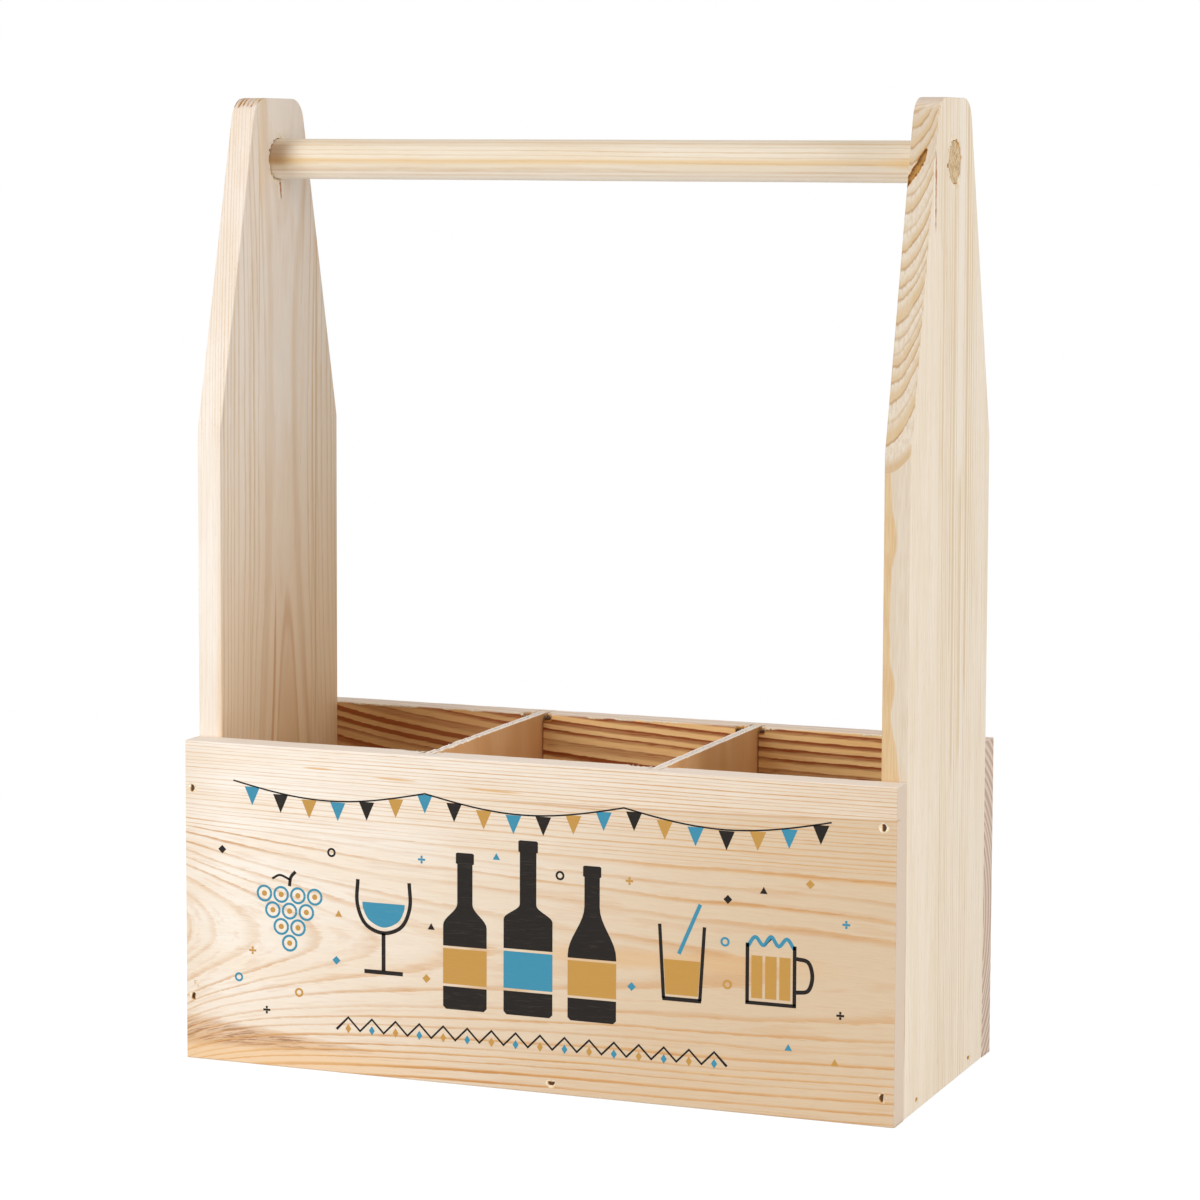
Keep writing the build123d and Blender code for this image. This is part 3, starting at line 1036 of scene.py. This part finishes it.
for along, size, shape, label in ((-26.0, 0.98, (9.2, 33, 9, 3.2, 62), "ochre"),
                                  (0.0, 1.02, (9.8, 36, 6, 3.3, 66), "teal"),
                                  (26.0, 0.96, (10.2, 26, 20, 3.2, 62), "ochre")):
    half = shape[0]
    draw("black", bottle(*shape, (9.0, 25.0)), along, 29.0, size)
    draw(label, [plate(box_of(-half, 10.0, half, 24.0))], along, 29.0, size)

# wine glass
bowl = curve([(-8.0, 27.0), (-8.2, 20.0), (-5.6, 14.2), (0.0, 12.0), (5.6, 14.2), (8.2, 20.0), (8.0, 27.0)])
wine = curve([(-6.6, 20.6), (-6.3, 18.6), (-4.4, 15.4), (0.0, 13.6), (4.4, 15.4), (6.3, 18.6), (6.6, 20.6)])
glass = (-60.0, 40.0, 1.35)
stem, foot = [(0.0, 12.0), (0.0, 1.0)], [(-6.0, 0.6), (6.0, 0.6)]
draw("black", [ribbon(bowl, 1.1), ribbon(stem, 1.2), ribbon(foot, 1.2)], *glass)
draw("teal", [plate(wine)], *glass)

# grapes
grapes = [((column - (3 - row) / 2) * 7.2, -row * 6.3) for row in range(4) for column in range(4 - row)]
for number, (dx, dz) in enumerate(grapes):
    draw("teal", [loop(2.9, 0.9)], -100.0 + dx, 68.0 + dz)
    draw("ochre", [plate(spot_of(1.1, 12))], -100.0 + dx, 68.0 + dz)
draw("black", [ribbon(curve([(0.0, 4.5), (0.6, 8.0), (2.6, 10.4)]), 1.3),
               ribbon(curve([(0.4, 7.0), (-4.0, 8.6), (-7.4, 7.0)]), 0.9)], -100.0, 67.0)

# tumbler
tumbler = (62.0, 40.0, 1.2)
draw("black", [ribbon([(-7.4, 24.0), (-6.0, 0.6)], 1.1), ribbon([(-6.4, 0.6), (6.4, 0.6)], 1.3),
               ribbon([(6.0, 0.6), (7.4, 24.0)], 1.1)], *tumbler)
draw("ochre", [plate(np.array([(-5.3, 2.0), (5.3, 2.0), (6.0, 13.0), (-6.0, 13.0)]))], *tumbler)
draw("teal", [ribbon([(-1.0, 15.0), (6.0, 31.0)], 1.2)], *tumbler)

# mug
mug = (97.0, 42.0, 1.15)
handle = curve([(8.6, 15.5), (12.6, 14.6), (14.0, 10.0), (12.6, 5.4), (8.6, 4.5)])
foam = curve([(-8.0, 18.2), (-5.4, 21.6), (-2.6, 19.0), (0.0, 22.0), (2.6, 19.0), (5.4, 21.6), (8.0, 18.2)])
draw("black", [ribbon([(-8.0, 19.5), (-8.0, 0.0)], 1.2), ribbon([(-8.6, 0.0), (8.6, 0.0)], 1.2),
               ribbon([(8.0, 0.0), (8.0, 19.5)], 1.2), ribbon(handle, 1.3)], *mug)
bars = ((-6.6, -2.9), (-1.9, 1.9), (2.9, 6.6))
draw("ochre", [plate(box_of(left, 1.6, right, 15.5)) for left, right in bars], *mug)
draw("teal", [ribbon(foam, 1.2)], *mug)

# zigzag with diamonds
steps = np.arange(33)
draw("black", [ribbon(np.stack([steps * 5.0 - 80.0, 17.0 + 5.0 * (steps % 2)], -1), 1.0)], 0.0, 0.0)
for number in range(16):
    draw("teal" if number % 2 else "ochre", [plate(spot_of(1.5, 4) * [0.8, 1.2])], number * 10.0 - 75.0, 17.6)

# pennants on a sagging string
string = np.linspace(-124.0, 120.0, 61)
hang = 111.5 - 5.5 * np.sin(np.pi * ((string + 124.0) / 81.34 % 1.0))
draw("black", [ribbon(np.stack([string, hang], -1), 0.6)], 0.0, 0.0)
for number, at in enumerate(range(2, 60, 3)):
    flag = np.array([(-3.2, -0.4), (0.0, -7.6), (3.2, -0.4)])
    draw(("teal", "black", "ochre")[number % 3], [plate(flag)], string[at], hang[at])

# small shapes round the picture
plus = [ribbon([(-1.5, 0.0), (1.5, 0.0)], 0.8), ribbon([(0.0, -1.5), (0.0, -0.5)], 0.8),
        ribbon([(0.0, 0.5), (0.0, 1.5)], 0.8)]
diamond = [plate(spot_of(1.7, 4))]
triangle = [plate(spot_of(1.7, 3, np.pi / 2))]
ring = [loop(1.4, 0.8)]
for colour, shape, along, up in (
        ("black", diamond, -129, 84), ("teal", ring, -122, 34), ("ochre", plus, -116, 45),
        ("black", ring, -82, 86), ("teal", diamond, -80, 44), ("ochre", triangle, -79, 62),
        ("black", plus, -110, 22), ("ochre", ring, -96, 30), ("teal", plus, -44, 86),
        ("ochre", diamond, -42, 40), ("black", triangle, -40, 60), ("teal", triangle, -13, 89),
        ("black", ring, 13, 84), ("ochre", plus, 41, 84), ("teal", diamond, 42, 44),
        ("black", diamond, 80, 80), ("ochre", ring, 80, 48), ("teal", ring, 79, 64),
        ("black", triangle, 94, 84), ("ochre", diamond, 112, 88), ("teal", plus, 126, 74),
        ("black", plus, 124, 40), ("teal", triangle, 104, 26), ("ochre", triangle, 122, 22)):
    draw(colour, shape, along, up)


def print_piece(name, shapes, colour):
    """All plates of one ink as one piece, from the model's front face into the wood."""
    faces_at = [-half_depth, 2 * print_rise - half_depth]
    points, faces, count = [], [], 0
    for outline, plate_faces in shapes:
        points.append(np.insert(np.tile(outline, (2, 1)), 1, np.repeat(faces_at, len(outline)), axis=1))
        faces += [[corner + count for corner in face] for face in plate_faces]
        count += 2 * len(outline)
    finish = wood(name + "_ink", ink=colour, **front_look)
    piece(name, np.concatenate(points), faces, finish, "caddy", sharp=0.5)


print_piece("print_black", ink["black"], (30, 26, 24))
print_piece("print_teal", ink["teal"], (62, 140, 168))
print_piece("print_ochre", ink["ochre"], (192, 146, 74))


# Uprights

def upright_half_width(up, inset=0.0):
    """Half the width at a height: straight to the shoulder, then tapering, then round to the flat top."""
    angle = np.arctan(taper_lean)
    middle_up = upright_height - top_corner
    tangent = top_corner * (1.0 - np.sin(angle)) / np.cos(angle)
    middle_out = top_half_width - tangent
    straight = np.where(up < shoulder_height, inside_half_depth,
                        inside_half_depth - taper_lean * (up - shoulder_height)) - inset / np.cos(angle)
    radius = top_corner - inset
    rise = np.clip((up - middle_up) / radius, 0.0, 1.0)
    arc = middle_out + radius * np.sqrt(1.0 - rise * rise)
    return np.where(up > middle_up + radius * np.sin(angle), arc, straight)


# The resin pocket on the right upright's front edge runs between these places (along X, up)
pocket_foot, pocket_tip = np.array([135.0, 344.6]), np.array([141.4, 357.2])


def resin_pocket(x, z):
    """How deep the pocket is and how dark: a lens round a slightly bent line, with a ragged outline.

    The resin is amber, darker at the pocket's foot and dark brown along its outline.
    """
    way = pocket_tip - pocket_foot
    long = np.hypot(*way)
    way = way / long
    share = ((x - pocket_foot[0]) * way[0] + (z - pocket_foot[1]) * way[1]) / long
    off = (x - pocket_foot[0]) * -way[1] + (z - pocket_foot[1]) * way[0]
    off = off + 0.66 * np.sin(np.pi * np.clip(share, 0.0, 1.0))
    half = 1.25 * np.sqrt(np.clip(1.0 - (2.0 * share - 0.75) ** 2 / 1.55, 0.0, 1.0))
    half = half * (0.75 + 0.5 * rough(5, x * 1.7, z * 1.7))
    hollow = smooth(half - np.abs(off), -0.05, 0.4)
    at_foot = 1.0 - smooth(share, 0.0, 0.12)
    dark = smooth(np.abs(off) - half, -0.5, -0.1) + 0.8 * at_foot + 0.6 * rough(6, x * 2.5, z * 1.2)
    stain = smooth(half - np.abs(off), -0.35, -0.05) * (0.55 + 0.27 * np.clip(dark, 0.0, 1.0))
    return hollow, stain * (half > 0.3)


def frayed_corner(depth, y, z):
    """How deep the front top corner is frayed: a comb of narrow upright nicks, each of its own length."""
    comb = smooth(np.sin(depth * 3.4 + 0.4) + 1.5 * (rough(81, depth * 1.5, z * 0.4) - 0.5), 0.2, 0.7)
    length = 371.0 + 3.6 * rough(82, np.floor(depth * 0.54 + 0.3) + 0.5, 0.5)
    return comb * smooth(z, length, length + 1.6) * (1.0 - smooth(y, -13.0, -9.0))


def upright(name, side, seed, finish, pocket=False, frayed=False):
    """A tall board. Its face grid is across by up, squeezed to the outline, with a round hole for the dowel.

    Near the hole the grid's square rings turn into circles. The hole's rim is chipped, and the brads at
    the foot sink the outer face.
    """
    hole_across = bore_radius * inside_half_depth / upright_half_width(np.array(handle_height))
    across = stations(-inside_half_depth, inside_half_depth, 4.0,
                      [(0.0, hole_across + 7.0, 0.95)] + [(a, *upright_brad_run) for a, b in foot_brads],
                      [-hole_across, hole_across, -inside_half_depth + 1.2, inside_half_depth - 1.2])
    turn = np.linspace(0.0, np.arccos(np.sin(np.arctan(taper_lean))), 9)
    round_top = upright_height - top_corner + top_corner * np.cos(turn[1:])
    up = stations(0.0, upright_height, 5.0,
                  [(handle_height, bore_radius + 4.0, 0.5), (4.0, 2.8, 0.26)] + [(370.8, 4.6, 0.5)] * frayed,
                  [handle_height - bore_radius, handle_height + bore_radius, 1.1, shoulder_height,
                   upright_height - 0.9, *round_top.tolist()])
    v, z = np.meshgrid(across / inside_half_depth, up, indexing="ij")
    z_in = drawn_in(z, 0.0, upright_height, eased_edge)
    full = np.stack([v * upright_half_width(z), z], -1)
    inset = np.stack([v * upright_half_width(z_in, eased_edge), z_in], -1)
    a = v * inside_half_depth / hole_across
    b = (z - handle_height) / bore_radius
    square = np.maximum(np.abs(a), np.abs(b))
    out = np.hypot(a, b) + 1e-9
    circle = np.stack([bore_radius * square * a / out, handle_height + bore_radius * square * b / out], -1)
    keep = smooth(square, 1.0, 1.75)[..., None]
    inset = inset * keep + circle * (1.0 - keep)
    rows = nearest(across, -hole_across), nearest(across, hole_across)
    columns = nearest(up, handle_height - bore_radius), nearest(up, handle_height + bore_radius)
    spots = np.arange(0.8, upright_thickness - 0.6, 0.3)
    y, z, depth, quads = slab(full, inset, upright_thickness, spots, (rows, columns))
    on_edge = np.abs(y) > upright_half_width(np.clip(z, 0, upright_height)) - 0.3
    # the bore's torn rim
    dy, dz = y, z - handle_height
    round_hole = np.hypot(dy, dz)
    angle = np.arctan2(dz, dy)
    face = np.minimum(depth, upright_thickness - depth)
    ragged = (rough(seed, np.cos(angle) * 5, np.sin(angle) * 5)
              * rough(seed + 1, np.cos(angle) * 11, np.sin(angle) * 11))
    upright_grain = np.abs(np.cos(angle)) ** 0.6
    chip = np.maximum(ragged * 2.2 - 0.42, 0.0) * (0.25 + upright_grain)
    widen = 1.1 * chip * (1.0 - smooth(face, 0.2, 2.2)) * (1.0 - smooth(round_hole, 8.2, 11.5))
    y = y + dy / round_hole * widen
    z = z + dz / round_hole * widen
    on_outer, on_inner = depth < tiny, depth > upright_thickness - tiny
    near = 1.0 - smooth(round_hole, 8.3, 9.9 + 1.4 * rough(seed + 2, angle * 3, 0.0))
    dish = 0.5 * near * smooth(rough(seed + 3, y * 0.8, z * 0.35), 0.35, 0.6)
    torn = np.where(on_outer | on_inner, smooth(dish, 0.1, 0.3), 0.0)
    pit, chipped, brown = brad_pits(y, z, foot_brads, seed + 20, level=True)
    foot = z < 12
    torn = np.where(on_outer & foot, chipped, torn)
    stain = np.where(on_outer & foot, brown, 0.0)
    stain = np.maximum(stain, 0.85 * (round_hole < 8.9) * smooth(face, 0.25, 1.2))
    sink = np.where(foot, pit, dish)
    deep = depth + np.where(on_outer, sink, 0.0) - np.where(on_inner & ~foot, dish, 0.0)
    x = half_length - deep
    if pocket:
        hollow, brown = resin_pocket(x, z)
        here = (y < 0) * smooth(depth, 0.1, 0.6) * on_edge
        y = y + hollow * here
        stain = np.maximum(stain, brown * here)
    if frayed:
        hollow = frayed_corner(depth, y, z) * on_edge
        y, z = y + 0.6 * hollow, z - 0.6 * hollow
        stain = np.maximum(stain, 0.68 * smooth(hollow, 0.35, 0.8))
    points = np.stack([side * x, y, z], -1)
    if side < 0:
        quads = quads[:, ::-1]
    chance = np.random.default_rng(seed)
    turn = chance.uniform(0, 2 * np.pi, 26)
    inner_face, rim_radius = side * (half_length - upright_thickness + 0.3), bore_radius + 0.5
    roots = [[inner_face, rim_radius * np.cos(t), handle_height + rim_radius * np.sin(t)] for t in turn]
    tufts = [slivers(seed + 4, roots, (-0.3 * side, 0.0, -0.6), 1.1)]
    if frayed:
        tops = np.stack([side * chance.uniform(135.8, 144.2, 40), chance.uniform(-18.5, -12.5, 40)], -1)
        heights = 365.5 + np.sqrt(top_corner ** 2 - (tops[:, 1] + 10.5) ** 2)
        tufts.append(slivers(seed + 5, np.c_[tops, heights], (0.0, -0.7, 0.1), 0.8))
    points, faces, marks = with_slivers(points, quads, {"torn": torn, "stain": stain}, *tufts)
    piece(name + "_wood", points, faces, finish, "caddy", [name], marks)


def crack(face_x, start, end, width):
    """A hairline crack on an upright's face, from start to end (across, up).

    It is brown, darker in places, with a pale lip along its front.
    """
    def spot(m, x, y, z, colour, height):
        (y0, z0), (y1, z1) = start, end
        share = (z - z0) / (z1 - z0)
        line = share * (y1 - y0) + y0 + (m.noise(z / 4.0, 3.0, 7.0, detail=2.0) - 0.5) * 0.9
        taper = m.step(share, 0.0, 0.15) * m.step(share, 1.0, 0.75)
        on_face = m.step((x - face_x).size(), 0.6, 0.3) * taper
        wide = m.step(m.noise(z / 5.0, 1.0, 2.0), 0.45, 0.65) * (width * 0.7) + width * 0.5
        here = m.step((y - line).size() - wide, 0.12, -0.15) * on_face
        lip = m.step((y - line + width + 0.8).size(), 0.9, 0.3) * on_face
        colour = m.mix(lip * 0.4, colour, shade(250, 242, 230))
        dark = m.step(m.noise(z / 3.0, 6.0, 2.0), 0.45, 0.6)
        brown = m.mix(dark, shade(182, 120, 76), shade(136, 78, 46))
        return m.mix(here, colour, brown), height - here * 0.8

    return spot


# The left upright's warm tone (227, 193, 148) is painted shade on the inner face, browner towards its foot
# and back edge.
left_wood = wood(
    "left_pine", grain="z", rings=left_rings, ring_width=1.2, pale=(240, 230, 218), rich=(234, 219, 202),
    late_wood=(200, 156, 108), strength=0.6, seed=3.0, band=(222, 200, 168), wander=0.6, late_share=0.36,
    marks=True, warmth=left_painted_shade, warm=(227, 193, 148), accent=left_accent,
    spots=[left_streaks, crack(-135.0, (0.2, 346.2), (1.8, 335.0), 1.0)])
right_wood = wood(
    "right_pine", grain="z", rings=right_rings, ring_width=2.5, pale=(238, 225, 206), rich=(233, 217, 193),
    late_wood=(178, 136, 88), strength=0.9, seed=4.0, band=(205, 174, 128), wander=0.9, late_share=0.55,
    rise=0.6, line_share=0.35, marks=True, accent=right_accent, warmth=right_warmth, warm=(219, 203, 178),
    spots=[right_edge_stain, right_streaks, crack(145.0, (-25.0, 357.0), (-24.4, 325.0), 1.1)])
upright("left_upright", -1, 31, left_wood, frayed=True)
upright("right_upright", 1, 32, right_wood, pocket=True)


# Handle

def dowel_band(m, x, y, z, colour, height):
    """The dowel: a tan band along the middle of its front, broadest at its ends, and painted light
    underneath.

    It has thin brown lines, a painted brown shade beside the left upright that is partly the wood's own
    brown, and dashes that the saw left on its ends.
    """
    ends = m.step(x.size(), 110.0, 136.0)
    wave = (m.noise(x / 40, 2.0, 6.0) - 0.5) * 1.6
    side = m.step(y, 3.0, -2.0) * (1.0 - m.facing(0))
    share = m.step((z - 351.4 - wave).size(), ends * 1.6 + 1.7, 0.2) * (ends * 0.3 + 0.62)
    colour = m.mix(share * side, colour, shade(226, 191, 136))
    # Painted light: the underside is paler, standing in for light from below.
    under = m.step(z, 350.0, 345.5) * (1.0 - m.facing(0))
    colour = m.mix(under * 0.85, colour, shade(255, 246, 230))
    for up, half, force in ((347.6, 0.3, 0.36), (346.1, 0.25, 0.3), (358.4, 0.4, 0.3)):
        line = m.step((z - up - wave * 0.3).size(), half + 0.35, half * 0.5) * 1.6
        line = line * m.noise(x / 30, up, 3.0)
        colour = m.mix((line * side * force).at_most(1.0), colour, shade(204, 156, 102))
    # Painted shade beside the left upright, partly the wood's own brown.
    painted_end_shade = m.step(x + 135.0, 13.0, 2.0) * m.step(y, -2.0, -6.0)
    painted_end_shade = painted_end_shade * m.step((z - 354.0).size(), 5.5, 2.5)
    colour = m.mix(painted_end_shade * (1.0 - m.facing(0)) * 0.6, colour, shade(166, 118, 72))
    dashes = m.noise((y * 0.5 + z) * 0.3, (z * 0.5 - y) * 1.15, 4.0, detail=2.0, roughness=0.65)
    end = m.step(m.facing(0), 0.5, 0.8)
    colour = m.mix(end * m.step(dashes, 0.47, 0.58) * 0.8, colour, shade(168, 136, 98))
    return colour, height + end * dashes * 1.2


# Corners of each ring of points round the dowel
dowel_corners = 96


def dowel():
    """A round bar: rings of points along X, with rough sawn ends that close in rings to their middles."""
    turn = np.linspace(0.0, 2 * np.pi, dowel_corners + 1)[:-1]
    inner = np.linspace(0.08, 0.98, 12)
    x = stations(-half_length + 0.2, half_length - 0.2, 5.0,
                 [(-half_length + 2.4, 2.0, 0.6), (half_length - 2.4, 2.0, 0.6)])
    share = np.concatenate([inner, np.ones(len(x)), inner[::-1]])[:, None]
    x = np.concatenate([np.full(len(inner), -half_length), x, np.full(len(inner), half_length)])
    at, around = np.meshgrid(x, turn, indexing="ij")
    share = share * np.ones((1, dowel_corners))
    # the bar's slight unevenness, and frayed rims at its ends
    soft = 1.0 - 0.012 * rough(51, at / 30 + 9, np.cos(around) * 2, np.sin(around) * 2)
    from_end = half_length - np.abs(at)
    fray = rough(52, np.cos(around) * 4.2 + np.sign(at) * 9, np.sin(around) * 4.2)
    fray = 0.1 * np.maximum(fray - 0.45, 0.0) * (1.0 - smooth(from_end, 0.3, 3.5))
    radius = handle_radius * share * soft * (1.0 - fray)
    y, z = radius * np.cos(around), radius * np.sin(around)
    end = smooth(1.0 - share, 0.0, 0.03) + (from_end < 0.3) * 0.3
    pits = 0.35 * rough(53, y * 2.3 + np.sign(at) * 20, z * 0.9) + 0.25 * rough(54, y * 4, z * 4)
    at = at - np.sign(at) * (pits * np.clip(end, 0, 1)) * (np.abs(at) > half_length - 0.5)
    points = np.stack([at, y, handle_height + z], -1).reshape(-1, 3)
    grid = np.arange(len(points)).reshape(at.shape)
    caps = [grid[0, ::-1].tolist(), grid[-1].tolist()]
    return points, quads_of(closed(grid))[:, ::-1].tolist() + caps


dowel_wood = wood(
    "dowel_pine", grain="x", rings=handle_rings, ring_width=1.9, pale=(233, 220, 200), rich=(229, 211, 184),
    late_wood=(200, 160, 104), strength=0.4, seed=5.0, wander=0.5, late_share=0.3, end_tint=(226, 200, 156),
    spots=[dowel_band])
points, faces = dowel()
piece("handle_wood", points, faces, dowel_wood, "caddy", ["handle"], sharp=0.7)


# Dividers and bottom

def plywood(name, seed):
    """Three thin sheets of wood: smooth tan faces with faint grain, and a core that shows on the edges."""
    m = Finish(bpy.data.materials.new(name))
    x, y, z = m.place()
    fibres = m.noise(x * 2.0, y / 1.1 + seed, z / 22, detail=3.0, roughness=0.6)
    broad = m.noise(seed, y / 16, z / 60, detail=1.0)
    face = m.mix(m.step(broad, 0.35, 0.65), shade(233, 184, 131), shade(225, 172, 115))
    return m, x, y, z, fibres, m.dim(face, fibres * 0.14 + 0.93)


def divider_finish(name, middle, seed):
    """Plywood with its core in the middle third of its thickness."""
    m, x, y, z, fibres, face = plywood(name, seed)
    off = (x - middle).size()
    edge = m.step(m.facing(0), 0.8, 0.5)
    dashes = m.noise(y / 1.6 + seed, x * 1.6, z / 1.6, detail=2.0)
    ply = m.mix(m.step(dashes, 0.42, 0.62), shade(252, 243, 232), shade(236, 220, 204))
    core = m.mix(m.step(dashes, 0.5, 0.66), shade(236, 222, 208), shade(186, 160, 140))
    layers = m.mix(m.step(off, 0.75, 0.55), ply, core)
    colour = m.mix(edge, face, layers)
    return m.surface(colour, fibres * 0.1 + 0.5, fibres * 0.4 + dashes * edge, 0.15)


def divider(name, place, body, seed, torn_end):
    """A thin sheet. Its face grid is across the caddy by up; its top edge is fuzzy, torn at the front."""
    across = stations(-divider_half_length, divider_half_length, 1.2)
    up = stations(divider_foot, panel_height, 5.0, [(panel_height - 1.6, 1.6, 0.4)],
                  [divider_foot + 0.6, panel_height - 0.5])
    full = np.stack(np.meshgrid(across, up, indexing="ij"), -1)
    ease = 0.12
    inset = drawn_in(full, np.array([-divider_half_length, divider_foot]),
                     np.array([divider_half_length, panel_height]), ease)
    y, z, depth, quads = slab(full, inset, 2 * divider_half_thickness, np.arange(0.7, 3.6, 0.32))
    lumps = rough(seed, y * 0.9, depth * 1.4) * rough(seed + 1, y * 0.35, depth * 0.5)
    front = 1.0 - smooth(y, torn_end, torn_end + 30)
    lowered = (0.25 + 0.75 * front) * lumps
    z = z - lowered * smooth(z, panel_height - 2.5, panel_height)
    x = place + divider_half_thickness - depth
    wave = 0.12 * front * (rough(seed + 2, y * 1.1, z * 0.8) - 0.5)
    wave = wave * smooth(z, panel_height - 3.0, panel_height)
    points = np.stack([x + wave, y, z], -1)
    finish = divider_finish(name + "_plywood", place, seed)
    piece(name + "_wood", points, quads.tolist(), finish, body, [name])


divider("left_divider", groove_places[0], "left_divider", 61, -30.0)
divider("right_divider", groove_places[1], "right_divider", 62, -70.0)


def bottom_finish():
    """Plywood with its grain along the caddy."""
    m = Finish(bpy.data.materials.new("bottom_plywood"))
    x, y, z = m.place()
    fibres = m.noise(x / 24, y / 1.0, z * 2.0, detail=3.0, roughness=0.6)
    broad = m.noise(x / 80, y / 14, 2.0, detail=2.0)
    face = m.mix(m.step(broad, 0.35, 0.65), shade(222, 190, 148), shade(208, 168, 122))
    face = m.dim(face, fibres * 0.2 + 0.9)
    return m.surface(face, fibres * 0.1 + 0.55, fibres, 0.12)


def wire_finish():
    """Dull galvanised wire, browned where the driver struck it."""
    m = Finish(bpy.data.materials.new("brad_wire"))
    x, y, z = m.place()
    blotch = m.noise(x * 1.5, y * 1.5, z * 1.5, detail=2.0)
    colour = m.mix(m.step(blotch, 0.4, 0.62), shade(92, 74, 58), shade(52, 36, 26))
    return m.surface(colour, blotch * 0.2 + 0.4, blotch, 0.05, metal=0.7)


bottom_wood, wire = bottom_finish(), wire_finish()
for name, made in (("bottom_board", bottom_wood), ("front_panel_brads", wire), ("back_panel_brads", wire),
                   ("left_upright_brads", wire), ("right_upright_brads", wire)):
    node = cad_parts[name]
    node.data.materials.clear()
    node.data.materials.append(made)
